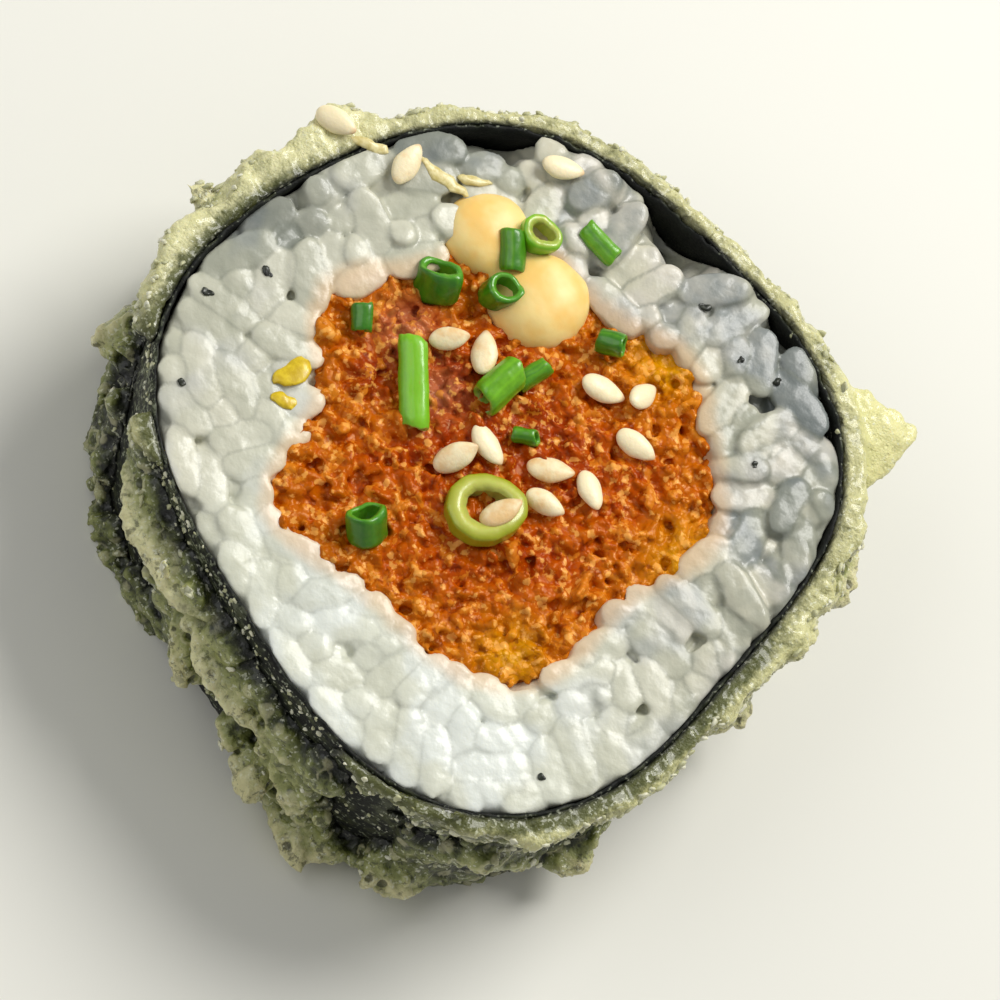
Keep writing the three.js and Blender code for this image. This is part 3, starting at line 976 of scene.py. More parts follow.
def packedGrains(count, low, high, seed, pockets, crowding):
    # grains as chains of beads that push each other apart between the filling and the seaweed
    chance = np.random.default_rng(seed)
    goldenShare = 0.61803399
    angle = (np.arange(count) * goldenShare % 1) * turn
    inner, outer = fillingRadiusAt(angle) - 0.4, noriRadiusAt(angle) - 1.4
    radius = np.sqrt(inner ** 2 + chance.random(count) * (outer ** 2 - inner ** 2))
    centre = onWall(angle, radius, chance.uniform(low + 1, high - 1, count))
    heading, tilt = chance.uniform(0, turn, count), chance.normal(0, 0.55, count)
    axis = directionOf(heading, tilt)
    length = rice["length"] * chance.uniform(0.84, 1.08, count)
    offsets = np.array([-0.34, -0.17, 0, 0.17, 0.34])
    thickness = rice["width"] / 2 * np.array([0.86, 0.98, 1.0, 0.98, 0.86])
    beadRadius = np.tile(thickness, count)
    owner = np.repeat(np.arange(count), len(offsets))
    apart = owner[:, None] != owner[None]
    for _ in range(rice["rounds"]):
        arm = axis[:, None] * (offsets[None, :, None] * length[:, None, None])
        bead = (centre[:, None] + arm).reshape(-1, 3)
        gap = bead[:, None] - bead[None]
        distance = np.sqrt((gap * gap).sum(2)) + 1e-6
        overlap = np.clip(0.78 * (beadRadius[:, None] + beadRadius[None]) - distance, 0, None) * apart
        push = (gap * (overlap / distance)[..., None]).sum(1) * 0.32
        around, out = polar(bead)
        outward = bead * (1, 1, 0) / out[:, None]
        tooFar = np.clip(out + beadRadius * 0.75 - (noriRadiusAt(around) - nori["inside"]), 0, None)
        tooNear = np.clip(fillingRadiusAt(around) - 1.0 - (out - beadRadius), 0, None)
        push += outward * (tooNear * 0.5 - tooFar * 0.8)[:, None]
        push[:, 2] += crowding + 0.6 * np.clip(low - (bead[:, 2] - beadRadius), 0, None)
        push[:, 2] -= 0.6 * np.clip(bead[:, 2] + beadRadius - high, 0, None)
        for middle, size in pockets:
            away = bead - middle
            reach = np.linalg.norm(away, axis=1)
            push += away / reach[:, None] * np.clip(size + beadRadius * 0.8 - reach, 0, None)[:, None] * 0.6
        push = push.reshape(count, -1, 3)
        centre = centre + push.mean(1)
        twist = np.cross(arm, push).sum(1) / length[:, None] ** 2 * 2.2
        axis = axis + np.cross(twist, axis)
        axis /= np.linalg.norm(axis, axis=1)[:, None]
    return centre, axis, length


def riceCutAt(points):
    level = rice["cut"] + (rice["looseCut"] - rice["cut"]) * smoothStep(-3, 9, points[:, 1])
    return level + 0.12 * noiseAt(points * (1, 1, 0), 4.0, 85)


def addGrains(heap, grains, seed, top=True):
    chance = np.random.default_rng(seed)
    points, faces = ballShape(20, 18)
    blunt = np.sign(points) * np.abs(points) ** (0.82, 1, 1)
    for i, (centre, axis, length) in enumerate(zip(*grains)):
        width = rice["width"] * chance.uniform(0.9, 1.1)
        depth = rice["depth"] * chance.uniform(0.92, 1.08)
        grain = blunt * np.array([length, width, depth]) / 2
        grain[:, 2] += chance.uniform(0.0, 0.035) * grain[:, 0] ** 2
        grain = grain + points * (0.14 * layeredNoise(grain + 13.7 * i, 2.2, 2, 81))[:, None]
        tilt = math.degrees(math.asin(np.clip(axis[2], -1, 1)))
        heading = math.degrees(math.atan2(axis[1], axis[0]))
        grain = turned(grain, chance.uniform(0, 360), tilt, heading) + centre
        slant, step = chance.normal(0, 0.09, 2), chance.normal(0, 0.16)
        if top:
            # each grain's cut face tips a little its own way
            loose = 0.4 + 0.6 * smoothStep(-3, 9, centre[1])
            cut = riceCutAt(grain) + loose * (step + (grain[:, :2] - centre[:2]) @ slant)
            grain[:, 2] = np.where(grain[:, 2] > cut, cut + 0.16 * (grain[:, 2] - cut), grain[:, 2])
        else:
            grain[:, 2] = np.where(grain[:, 2] < 0.12, 0.12 + 0.12 * (grain[:, 2] - 0.12), grain[:, 2])
        heap.add(grain, faces)


def placedGrains(grains):
    # adds the few grains whose places are known, and those pressed against the seaweed clear of its hollows
    chance = np.random.default_rng(103)
    x, y, length, heading, rise = np.array(rice["placed"], float).T
    height = 0 * x + 15.35
    edge = np.radians(np.arange(-36, 172, 8))
    radius = noriRadiusAt(edge) - nori["inside"] - 1.15
    place = onWall(edge, radius, 15.1 + chance.uniform(-0.25, 0.25, len(edge)))
    outside = [np.hypot(*(place - middle).T[:2]) > size + 1.5 for middle, size in pocketPlaces()]
    clear = np.all(outside, axis=0)
    edge, place = edge[clear], place[clear]
    x, y, height = np.append(x, place[:, 0]), np.append(y, place[:, 1]), np.append(height, place[:, 2])
    length = np.append(length, chance.uniform(4.2, 5.8, len(edge)))
    heading = np.append(np.radians(heading), edge + turn / 4 + chance.normal(0, 0.5, len(edge)))
    rise = np.append(np.radians(rise), chance.normal(0, 0.3, len(edge)))
    placed = np.stack([x, y, height], axis=1), directionOf(heading, rise), length
    return [np.concatenate(pair) for pair in zip(grains, placed)]


def riceRing(low, high, dips=()):
    # a closed ring with a lumpy upper and lower face
    columns, rows = 300, 16
    angle = np.tile(np.arange(columns) / columns * turn, rows)
    share = np.repeat(np.linspace(0, 1, rows), columns)
    outer, inner = noriRadiusAt(angle) - nori["inside"] - 0.1, fillingRadiusAt(angle) - 0.4
    radius = inner + share * (outer - inner)
    roof, floor = onWall(angle, radius, high + 0 * angle), onWall(angle, radius, low + 0 * angle)
    loose = smoothStep(2, 9, roof[:, 1])
    roof[:, 2] += 0.35 * noiseAt(roof, 2.6, 91) + 0.3 * smoothStep(3, -4, roof[:, 1])
    roof[:, 2] += (0.45 + 0.5 * loose) * smoothStep(0.7, 0.92, share)
    floor[:, 2] += 0.4 * noiseAt(floor, 2.6, 93)
    for middle, size in dips:
        reach = np.hypot(roof[:, 0] - middle[0], roof[:, 1] - middle[1])
        roof[:, 2] -= 3.0 * np.exp(-(reach / size) ** 2)
    return np.vstack([roof, rowsReversed(floor, rows)]), gridFaces(2 * rows, columns, True, True)[:, ::-1]


def nearestGrains(points, grains):
    # which grain each point belongs to, and how much nearer that one is than the next, a block at a time
    centres, axes, lengths = grains
    reach = lengths / 2 - 0.42 * rice["width"]
    owners, leads = [], []
    for block in np.array_split(points, len(points) // 6000 + 1):
        offset = block[:, None] - centres[None]
        along = np.clip((offset * axes).sum(2), -reach, reach)
        offset -= along[..., None] * axes
        away = np.sqrt((offset * offset).sum(2))
        owner = away.argmin(1)
        own = np.arange(len(block)), owner
        nearest = away[own]
        away[own] = farAway
        owners.append(owner)
        leads.append(away.min(1) - nearest)
    return np.concatenate(owners), np.concatenate(leads)


def riceLayer(name, grains, ring, voxel, seed, top):
    heap = Heap()
    addGrains(heap, grains, seed, top)
    heap.add(*ring)
    mesh = remeshed(heap.mesh(name + "Raw"), voxel)
    points, normals = pointsOf(mesh), normalsOf(mesh)
    angle, out = polar(points)
    aside = (noriRadiusAt(angle) - out < 0.75) & (np.abs(normals[:, 2]) < 0.5)
    below = points[:, 2] < 13.2 if top else points[:, 2] > 3
    mesh = thinned(mesh, below | aside, rice["keep"] if top else rice["bodyKeep"])
    points = pointsOf(mesh)
    pressed = 0.12 + 0.24 * smoothStep(5, -8, points[:, 1]) if top else np.full(len(points), 0.3)
    points = softened(mesh, points, pressed, 5)
    setPoints(mesh, points)
    points = points + normalsOf(mesh) * (0.035 * layeredNoise(points, 0.8, 3, 97))[:, None]
    angle, out = polar(points)
    out = np.minimum(out, noriRadiusAt(angle) - nori["inside"] + 0.06)
    points = onWall(angle, out, np.maximum(points[:, 2], 0.02))
    setPoints(mesh, points)
    owner, lead = nearestGrains(points, grains)
    tones = np.random.default_rng(seed + 5).random(len(grains[0]))
    centres = grains[0]
    places = [np.hypot(centres[:, 0] - x, centres[:, 1] - y) / reach for x, y, reach in rice["clear"]]
    clearGrains = np.minimum(1, 1.4 * np.exp(-np.min(places, axis=0) ** 2))
    # each grain's own tone and clearness, softened at its creases
    values = np.stack([tones[owner], clearGrains[owner]], axis=1)
    tone, clear = softened(mesh, values, np.full(len(points), 0.6), 2).T
    # leftSide is 1 on the left of the face, where the rice is painted darker and warmer, as painted shade
    leftSide = smoothStep(-7, -15, points[:, 0])
    setMark(mesh, "tone", tone)
    setMark(mesh, "clear", clear)
    # painted shade in the creases between grains, a little weaker on the left
    setMark(mesh, "crease", (1 - smoothStep(0.0, 0.34, lead)) * (1 - 0.2 * leftSide))
    setMark(mesh, "stain", 1 - smoothStep(-0.6, 2.0, out - fillingRadiusAt(angle)))
    setMark(mesh, "leftSide", leftSide)
    # painted shade: the rice greys towards the far side, on the left and over the clear grains
    across = smoothStep(-8, 13, 0.4 * points[:, 0] + 0.92 * points[:, 1])
    setMark(mesh, "shade", np.max([across, clear, 0.6 * leftSide], axis=0))
    return mesh


def ricePaint():
    # whiter where the grains are pressed together, greyer and glassier at the looser side; the grey there and
    # on the left is painted shade
    paint = Paint("moist rice")
    soft = paint.noise(1.6, 3, 0.5)
    fine = paint.noise(0.4, 3, 0.6)
    shade = paint.mark("shade")
    # whiteness drops where the painted shade is; the glassy and the white colours each have a lit and a
    # painted-shade copy
    white = 0.5 * paint.mark("tone") + 0.75 * soft + 0.18 - 0.28 * shade - 0.35 * paint.mark("clear")
    white = white.between(0.15, 0.95)
    clear = paint.mix(rgb(196, 198, 182), rgb(132, 138, 136), shade)
    solid = paint.mix(rgb(228, 232, 224), rgb(214, 209, 194), shade)
    colour = paint.mix(clear, solid, white)
    # a broad warm tint that varies at random, pushed warmer and darker on the left as painted shade
    warm = (paint.noise(5.0, 2, 0.5) + 0.12 * paint.mark("leftSide")).between(0.44, 0.6)
    colour = paint.mix(colour, rgb(206, 204, 172), 0.4 * warm)
    # the clear grains painted darker grey: partly their glassy tone, partly painted shade
    colour = paint.mix(colour, rgb(100, 108, 106), 0.55 * paint.mark("clear"))
    # painted shade in the creases, deeper where the painted shade is
    colour = paint.mix(colour, rgb(118, 122, 108), (0.22 + 0.3 * shade) * paint.mark("crease"))
    stained = (paint.mark("stain") + 0.5 * (soft - 0.5)).between(0.3, 1.1)
    colour = paint.mix(colour, rgb(232, 186, 130), 0.5 * stained)
    return paint.finish(
        {
            "Base Color": colour,
            "Roughness": 0.24 + 0.2 * fine,
            "IOR": 1.4,
            **softLight(0.3, (1.0, 0.95, 0.85), 0.6),
            "Coat Weight": 0.2,
            "Coat Roughness": 0.12,
            "Normal": paint.bump(soft * 0.6 + fine * 0.6, 0.1, 0.5),
        }
    )


def makeRice():
    paint = ricePaint()
    low, high = rice["core"]
    pockets = pocketPlaces()
    grains = placedGrains(packedGrains(rice["top"], *rice["topSpan"], 101, pockets, 0.02))
    ring = riceRing(rice["faceFloor"], high, pockets)
    mesh = riceLayer("riceFace", grains, ring, rice["voxel"], 102, True)
    face = makePiece("riceFace", mesh, paint, ["rice"])
    print("rice face:", len(mesh.polygons), "faces")
    grains = packedGrains(rice["bottom"], *rice["bottomSpan"], 131, [], -0.02)
    ring = riceRing(low, rice["bodyRoof"], pockets)
    mesh = riceLayer("riceBody", grains, ring, rice["bodyVoxel"], 132, False)
    makePiece("riceBody", mesh, paint, ["rice"])
    print("rice body:", len(mesh.polygons), "faces")
    return face


# the minced filling in its sauce

filling = {
    "top": 15.1,
    "bits": 3000,
    "bottomBits": 1100,
    "voxel": 0.155,
    "keep": 0.7,
    "bodyVoxel": 0.22,
    "bodyKeep": 0.4,
    "slabEdge": 0.3,           # how far the slabs under the bits reach past the outline
    "faceFloor": 12.6,         # where the upper slab ends below, and the lower slab above
    "bodyRoof": 13.2,
    # spots that differ from the rest: kind, x, y, reach
    "spots": [
        ("yellow", 3.7, 12.9, 2.6),
        ("yellow", 14.3, 3.7, 2.8),
        ("yellow", 9.5, -9.5, 2.2),
        ("pale", -10.0, 2.3, 1.9),
        ("pale", -5.6, 0.5, 1.6),
        ("dark", -9.6, -1.7, 1.9),
        ("dark", 0.5, 1.5, 3.0),
        ("red", -9.4, -2.0, 1.3),
    ],
}


def minceTopAt(x, y):
    # the same low mound and lumps as in the solids
    mound = 0.5 * np.exp(-(x * x + y * y) / roll["fillingRadius"] ** 2)
    bentX = 1.9 * x + 1.3 * np.sin(1.1 * y)
    bentY = 2.1 * y - 0.8 * np.sin(1.4 * x)
    large = 0.34 * np.sin(bentX) * np.cos(bentY)
    small = 0.22 * np.sin(2.7 * x - 2.2 * y) * np.sin(2.5 * y + 1.6 * x)
    return filling["top"] + mound + large + small


def spotAt(points, kind):
    value = np.zeros(len(points))
    for name, x, y, reach in filling["spots"]:
        if name == kind:
            away = np.hypot(points[:, 0] - x, points[:, 1] - y)
            value = np.maximum(value, np.exp(-(away / reach) ** 2))
    return np.clip(value + 0.25 * value * layeredNoise(points, 1.5, 2, 113), 0, 1)


def reddishAt(points):
    # 1 in the dark middle of the face, 0 at its yellow-orange edge
    angle, out = polar(points)
    share = out / fillingRadiusAt(angle)
    red = 1 - smoothStep(0.35, 1.02, share) + 0.3 * layeredNoise(points * (1, 1, 0), 4.5, 2, 111)
    return np.clip(red + 0.5 * spotAt(points, "dark"), 0, 1.2)


def addMince(heap, count, seed, level, side):
    # side is 1 on the upper face and -1 on the lower one
    chance = np.random.default_rng(seed)
    ball, faces = ballShape(8, 7)
    for i, (x, y) in enumerate(scattered(count, fillingRadiusAt, seed + 1)):
        kind = chance.random()
        if kind < 0.6:
            size = chance.uniform(0.2, 0.38) * np.array([1.2, 1, 0.95])
        elif kind < 0.93:
            size = np.array([chance.uniform(0.4, 0.85), chance.uniform(0.19, 0.3), chance.uniform(0.2, 0.3)])
        else:
            size = chance.uniform(0.5, 0.95) * np.array([1.2, 0.85, 0.5])
        bit = ball * size
        bit[:, 1] += chance.uniform(-0.35, 0.35) * bit[:, 0] ** 2
        bit = bit + ball * (0.14 * noiseAt(bit + 5.3 * i, 0.7, 121))[:, None]
        bit = turned(bit, chance.normal(0, 40), chance.normal(0, 20), chance.uniform(0, 360))
        inward = 1 - (size.max() - 0.2) / roll["fillingRadius"]
        x, y = inward * x, inward * y
        bit = bit + (x, y, level(x, y) + side * chance.uniform(-0.2, 0.2))
        bit[:, 2] = np.maximum(bit[:, 2], 0.03)
        heap.add(bit, faces, tone=chance.random())


def scattered(count, radiusAt, seed):
    # points spread evenly inside an outline: each is the farthest of a few tries from those before it
    chance = np.random.default_rng(seed)
    tryCount = 9
    kept = np.full((count, 2), farAway)
    for i in range(count):
        angle, share = chance.uniform(0, turn, tryCount), np.sqrt(chance.random(tryCount))
        tries = np.stack([np.cos(angle), np.sin(angle)], axis=1) * (share * radiusAt(angle))[:, None]
        nearest = np.min(np.linalg.norm(tries[:, None] - kept[None, :i + 1], axis=2), axis=1)
        kept[i] = tries[np.argmax(nearest)]
    return kept


def fillingPaint():
    paint = Paint("sauced mince")
    fine = paint.noise(0.42, 4, 0.6)
    tone, peak = paint.mark("tone"), paint.mark("peak")
    grains = paint.cells(0.6)
    # redder in the middle of the face; lighter on the peaks and darker between the grains, as painted
    # highlight and shade
    rednessAndShade = paint.mark("red") + 0.5 * (fine - 0.5) + 0.4 * (tone - 0.5)
    rednessAndShade = rednessAndShade - 0.35 * peak + 0.3 * (grains - 0.35)
    colour = paint.node(
        "ValToRGB",
        {
            "stops": [
                (0.0, rgb(190, 96, 3)),
                (0.3, rgb(188, 86, 2)),
                (0.6, rgb(182, 76, 1)),
                (0.85, rgb(174, 66, 0)),
                (1.0, rgb(158, 52, 0)),
            ]
        },
        {"Fac": rednessAndShade},
    )
    colour = paint.mix(colour, rgb(220, 160, 4), 0.7 * paint.mark("yellowSpot"))
    colour = paint.mix(colour, rgb(188, 124, 92), 0.5 * paint.mark("paleSpot"))
    colour = paint.mix(colour, rgb(120, 14, 4), 0.75 * paint.mark("redSpot"))
    # paler orange on bits picked at random, and on the peaks as painted highlight
    colour = paint.mix(colour, rgb(238, 150, 40), 0.5 * (tone + 0.25 * peak).between(0.84, 1.05))
    # painted glints: small pale specks in the grains' middles and on the peaks
    lights = (paint.noise(0.8, 3, 0.6) - 0.3 * grains + 0.06 * peak).between(0.46, 0.54)
    colour = paint.mix(colour, rgb(255, 186, 92), 0.62 * lights)
    # dark specks, with painted shade between the grains and off the peaks
    darkSpecksAndShade = (paint.noise(0.9, 3, 0.6) + 0.3 * grains - 0.1 * peak).between(0.69, 0.82)
    colour = paint.mix(colour, rgb(112, 26, 0), 0.6 * darkSpecksAndShade)
    return paint.finish(
        {
            "Base Color": colour,
            "Roughness": 0.14 + 0.12 * fine,
            "Specular IOR Level": 0.3,
            "Specular Tint": (1.0, 0.7, 0.32, 1),
            **softLight(0.1, (1.0, 0.5, 0.15), 0.6),
            "Coat Weight": 0.06,
            "Coat Roughness": 0.05,
            "Normal": paint.bump(fine, 0.1, 0.6, paint.bump(1 - grains * grains, 0.2, 0.8)),
        }
    )


def markMince(mesh, points, tone, peak):
    marks = {"tone": tone, "peak": peak, "red": reddishAt(points)}
    for kind in ("yellow", "pale", "red"):
        marks[kind + "Spot"] = spotAt(points, kind)
    for mark, values in marks.items():
        setMark(mesh, mark, values)


def capTopAt(flat, share):
    height = minceTopAt(flat[:, 0], flat[:, 1]) - 0.2
    return height + 0.26 * layeredNoise(flat, 1.0, 3, 115) - 1.6 * smoothStep(0.93, 1, share)


def undersideAt(flat, share):
    return 0.3 + 0.2 * layeredNoise(flat, 1.0, 3, 117) + 0.6 * smoothStep(0.95, 1, share)


def slabRadiusAt(angle):
    return fillingRadiusAt(angle) + filling["slabEdge"]


def minceSkin(name, heap, slab, voxel):
    # one skin round the bits and their slab, and the bits' points and tones, to colour it by
    bitPoints, bitTones = np.vstack(heap.points), np.concatenate(heap.marks["tone"])
    heap.marks = {}
    heap.add(*slab)
    return remeshed(heap.mesh(name), voxel), bitPoints, bitTones


def makeFilling():
    paint = fillingPaint()
    heap = Heap()
    addMince(heap, filling["bits"], 141, minceTopAt, 1)
    slab = discShape(360, 70, slabRadiusAt, capTopAt, lambda flat, share: filling["faceFloor"])
    mesh, bitPoints, bitTones = minceSkin("fillingRaw", heap, slab, filling["voxel"])
    mesh = thinned(mesh, pointsOf(mesh)[:, 2] < 13.2, filling["keep"])
    points = pointsOf(mesh)
    points = softened(mesh, points, np.full(len(points), 0.3), 1)
    setPoints(mesh, points)
    points = points + normalsOf(mesh) * (0.035 * layeredNoise(points, 0.5, 2, 119))[:, None]
    setPoints(mesh, points)
    peak = points[:, 2] - minceTopAt(points[:, 0], points[:, 1])
    markMince(mesh, points, nearestValue(points, bitPoints, bitTones), np.clip(peak / 0.45, -1, 1))
    face = makePiece("fillingFace", mesh, paint, ["filling"])
    print("filling face:", len(mesh.polygons), "faces")

    heap = Heap()
    addMince(heap, filling["bottomBits"], 151, lambda x, y: 0.35, -1)
    slab = discShape(240, 44, slabRadiusAt, lambda flat, share: filling["bodyRoof"], undersideAt)
    mesh, bitPoints, bitTones = minceSkin("fillingBodyRaw", heap, slab, filling["bodyVoxel"])
    mesh = thinned(mesh, pointsOf(mesh)[:, 2] > 1.4, filling["bodyKeep"])
    points = pointsOf(mesh)
    points[:, 2] = np.maximum(points[:, 2], 0.03)
    setPoints(mesh, points)
    markMince(mesh, points, nearestValue(points, bitPoints, bitTones), 0 * points[:, 0])
    makePiece("fillingBody", mesh, paint, ["filling"])
    print("filling body:", len(mesh.polygons), "faces")
    return face


# two dots of mayonnaise

mayo = {
    "foot": 14.2,
    "dots": [(-10.4, 11, 3.1, 2.75), (-5, 10, 3.5, 3.0), (-7.7, 10.7, 2.3, 2.3)],      # x, y, radius, height
    "voxel": 0.17,
}


def mayoPaint():
    paint = Paint("pale orange mayonnaise")
    soft = paint.noise(1.8, 2, 0.5)
    fine = paint.noise(0.5, 3, 0.6)
    colour = paint.mix(rgb(255, 207, 118), rgb(255, 223, 148), soft.between(0.3, 0.7))
    return paint.finish(
        {
            "Base Color": colour,
            "Roughness": 0.34 + 0.1 * soft,
            "Specular IOR Level": 0.4,
            **softLight(0.3, (1.0, 0.7, 0.35), 0.9),
            "Normal": paint.bump(soft + 0.3 * fine, 0.1, 0.5),
        }
    )


def makeMayo():
    ball, faces = ballShape(40, 30)
    heap = Heap()
    for x, y, radius, height in mayo["dots"]:
        dome = np.stack([ball[:, 1], ball[:, 2], ball[:, 0]], axis=1) * (radius, radius, height * 0.64)
        dome = dome * (1 + 0.07 * noiseAt(dome + x, 3.4, 161))[:, None]
        dome = dome + (x, y, mayo["foot"] + height * 0.4)
        dome[:, 2] = np.maximum(dome[:, 2], mayo["foot"])
        heap.add(dome, faces)
    mesh = remeshed(heap.mesh("mayoRaw"), mayo["voxel"])
    points = pointsOf(mesh)
    points = softened(mesh, points, np.full(len(points), 0.5), 14)
    points[:, 2] += 0.05 * noiseAt(points, 1.6, 165)
    setPoints(mesh, points)
    print("mayonnaise:", len(mesh.polygons), "faces")
    return makePiece("mayoDots", mesh, mayoPaint(), ["mayo"])


# small things that lie on the cut face

looseBits = {
    # dark specks on the rice: x, y
    "specks": [
        (-19.1, -1.7), (-21.0, -5.5), (-18.1, -11.3), (3.3, 17.6),
        (7.4, 16.5), (10.2, 17.3), (12.8, 11.6), (16.2, -14.3),
    ],
    # shreds of batter: x, y, length, width, heading
    "slivers": [
        (-15.4, 11.5, 5.4, 1.0, 4),
        (-20.0, 9.7, 2.8, 0.9, 24),
        (-13.4, 13.0, 2.6, 0.8, 40),
        (-20.2, 7.2, 3.0, 0.8, -32),
    ],
    # yellow bits of the filling, given in the same way
    "yellow": [(-13.3, -5.6, 2.9, 1.8, 74), (-12.5, -7.4, 1.9, 1.2, 30)],
}


def bitPaint(name, dark, light, gloss):
    paint = Paint(name)
    fine = paint.noise(0.5, 3, 0.6)
    return paint.finish(
        {
            "Base Color": paint.mix(dark, light, fine.between(0.3, 0.7)),
            "Roughness": gloss + 0.2 * fine,
            "Coat Weight": 0.3,
            "Coat Roughness": 0.15,
            "Normal": paint.bump(fine, 0.06, 0.6),
        }
    )


def makeLooseBits(heightAt):
    chance = np.random.default_rng(201)
    ball, faces = ballShape(14, 12)
    specks = Heap()
    for i, (x, y) in enumerate(looseBits["specks"]):
        bit = ball * (chance.uniform(0.25, 0.48), chance.uniform(0.18, 0.3), 0.1)
        bit = bit + ball * (0.16 * layeredNoise(bit + 3.3 * i, 0.4, 2, 203))[:, None]
        level = max(heightAt(x, y, 0.2)) + 0.02
        specks.add(turned(bit, 0, 0, chance.uniform(0, 360)) + (x, y, level), faces)
    paint = bitPaint("seaweed specks", rgb(10, 12, 8), rgb(44, 50, 34), 0.35)
    makePiece("noriSpecks", specks.mesh("noriSpecks"), paint, ["nori"])
    for name, key, slot, dark, light in (
        ("batterSlivers", "slivers", "batter", rgb(206, 188, 112), rgb(238, 226, 170)),
        ("yellowBits", "yellow", "filling", rgb(206, 172, 10), rgb(234, 204, 36)),
    ):
        heap = Heap()
        for i, (x, y, length, width, heading) in enumerate(looseBits[key]):
            bit = ball * (length / 2, width / 2, 0.26)
            bit[:, 1] += 0.07 * bit[:, 0] ** 2
            bit = bit + layeredNoise(bit + 6.1 * i, 1.0, 2, 207)[:, None] * (0.25, 0.25, 0.1)
            level = np.mean(heightAt(x, y, 0.25 * length)) + 0.04
            bit = turned(bit, chance.uniform(-20, 20), chance.uniform(-4, 4), heading)
            heap.add(bit + (x, y, level), faces)
        makePiece(name, heap.mesh(name), bitPaint(name, dark, light, 0.3), [slot])
    print("loose bits: made")


# sesame seeds

sesame = {
    "length": 3.1,
    "width": 1.75,
    "depth": 1.0,
    # x and y, and where its point turns
    "places": [
        (-7.5, 3.4, 50), (-5.2, 4.4, 125), (2.1, 8.3, 19), (6.2, 7, 6), (-0.9, -0.2, -14), (-1.9, -2.3, 68),
        (3.2, 1.6, 33), (4.4, -0.4, 13), (6, 2.4, -32), (2.7, -3.4, 63), (4.3, 9.9, 80), (-9.8, 17.7, 30),
        (-17.4, 10.4, 100), (-22.7, 9.2, 10),
    ],
}


def sesamePaint():
    paint = Paint("toasted sesame")
    soft = paint.noise(0.9, 3, 0.5)
    fine = paint.noise(0.22, 2, 0.5)
    pale = (soft + 0.5 * paint.mark("tone")).between(0.35, 0.85)
    colour = paint.mix(rgb(240, 200, 138), rgb(255, 238, 196), pale)
    colour = paint.mix(colour, rgb(206, 150, 88), 0.55 * paint.mark("tip").between(0.7, 1.0))
    return paint.finish(
        {
            "Base Color": colour,
            "Roughness": 0.4 + 0.1 * fine,
            **softLight(0.15, (1.0, 0.8, 0.5), 0.5),
            "Coat Weight": 0.2,
            "Coat Roughness": 0.3,
            "Normal": paint.bump(fine + soft, 0.05, 0.6),
        }
    )


def lean(points, heightAt, x, y, step):
    # tips a small thing to the slope that it lies on, and gives the mean of the three highest levels there
    here = max(heightAt(x, y))
    beside = [(x + step, y), (x - step, y), (x, y + step), (x, y - step)]
    levels = [max(heightAt(*place), default=here) for place in beside]
    slopeX, slopeY = np.clip([levels[0] - levels[1], levels[2] - levels[3]], -step, step) / (2 * step)
    spin = Vector((0, 0, 1)).rotation_difference(Vector((-slopeX, -slopeY, 1))).to_matrix()
    return points @ np.array(spin).T, sum(sorted(levels + [here])[-3:]) / 3


def makeSesame(heightAt):
    chance = np.random.default_rng(171)
    ball, faces = ballShape(20, 18)
    heap = Heap()
    for i, (x, y, heading) in enumerate(sesame["places"]):
        seed = np.sign(ball) * np.abs(ball) ** (0.9, 1, 1)
        along = seed[:, :1]
        narrow = 1 - 0.42 * np.maximum(0, along) ** 1.3
        half = np.array([sesame["length"], sesame["width"], sesame["depth"]]) / 2
        seed = seed * half * np.hstack([np.ones_like(narrow), narrow, narrow]) * chance.uniform(0.86, 1.06)
        seed[:, 2] += 0.05 * seed[:, 0] ** 2
        seed = seed + ball * (0.05 * noiseAt(seed + 3.1 * i, 0.9, 175))[:, None]
        seed = turned(seed, chance.normal(0, 12), chance.normal(0, 5), heading)
        seed, level = lean(seed, heightAt, x, y, 0.9)
        level = min(level + 0.34 * sesame["depth"], chives["highest"] - seed[:, 2].max())
        seed = seed + (x, y, level)
        heap.add(seed, faces, tip=along[:, 0], tone=chance.random())
    makePiece("sesameSeeds", heap.mesh("sesameSeeds"), sesamePaint(), ["filling", "rice", "batter"])
    print("sesame seeds:", len(sesame["places"]))


# snipped chives

chives = {
    "highest": 18.1,           # no piece stands higher than this
    "roundFrom": 0.45,         # a ring with a thicker wall than this is nearly round
    # x, y, radius, length, heading, rise, the share of the radius that is wall,
    # and ripeness, from dark to yellow green
    "places": [
        (-7.9, 13, 1.35, 1.7, 40, 80, 0.44, 0.75),
        (-8.4, 10.9, 0.95, 2.6, 133, 10, 0.3, 0.25),
        (-7.2, 8.1, 1.25, 1.8, 60, 75, 0.34, 0.15),
        (-4.6, 15.6, 0.7, 2.8, -7, 5, 0.3, 0.4),
        (-10.6, 5.9, 1.6, 2.4, 130, 60, 0.32, 0.1),
        (-12.6, 0.4, 0.75, 1.8, 133, 10, 0.3, 0.1),
        (-7.2, -0.6, 0.95, 5.9, 133, 4, 0.3, 0.7),
        (-3, 3.3, 1.2, 3, 86, 8, 0.3, 0.5),
        (-1.9, 5.6, 0.8, 2.4, 76, 6, 0.3, 0.3),
        (0.4, 10.9, 0.9, 1.8, 20, 30, 0.3, 0.15),
        (1.8, -3.7, 2.6, 1.4, 135, 82, 0.46, 1.25),
        (-3.1, -10, 1.35, 2, 150, 50, 0.3, 0.1),
        (0.5, 2.1, 0.7, 1.5, 30, 15, 0.3, 0.2),
    ],
}


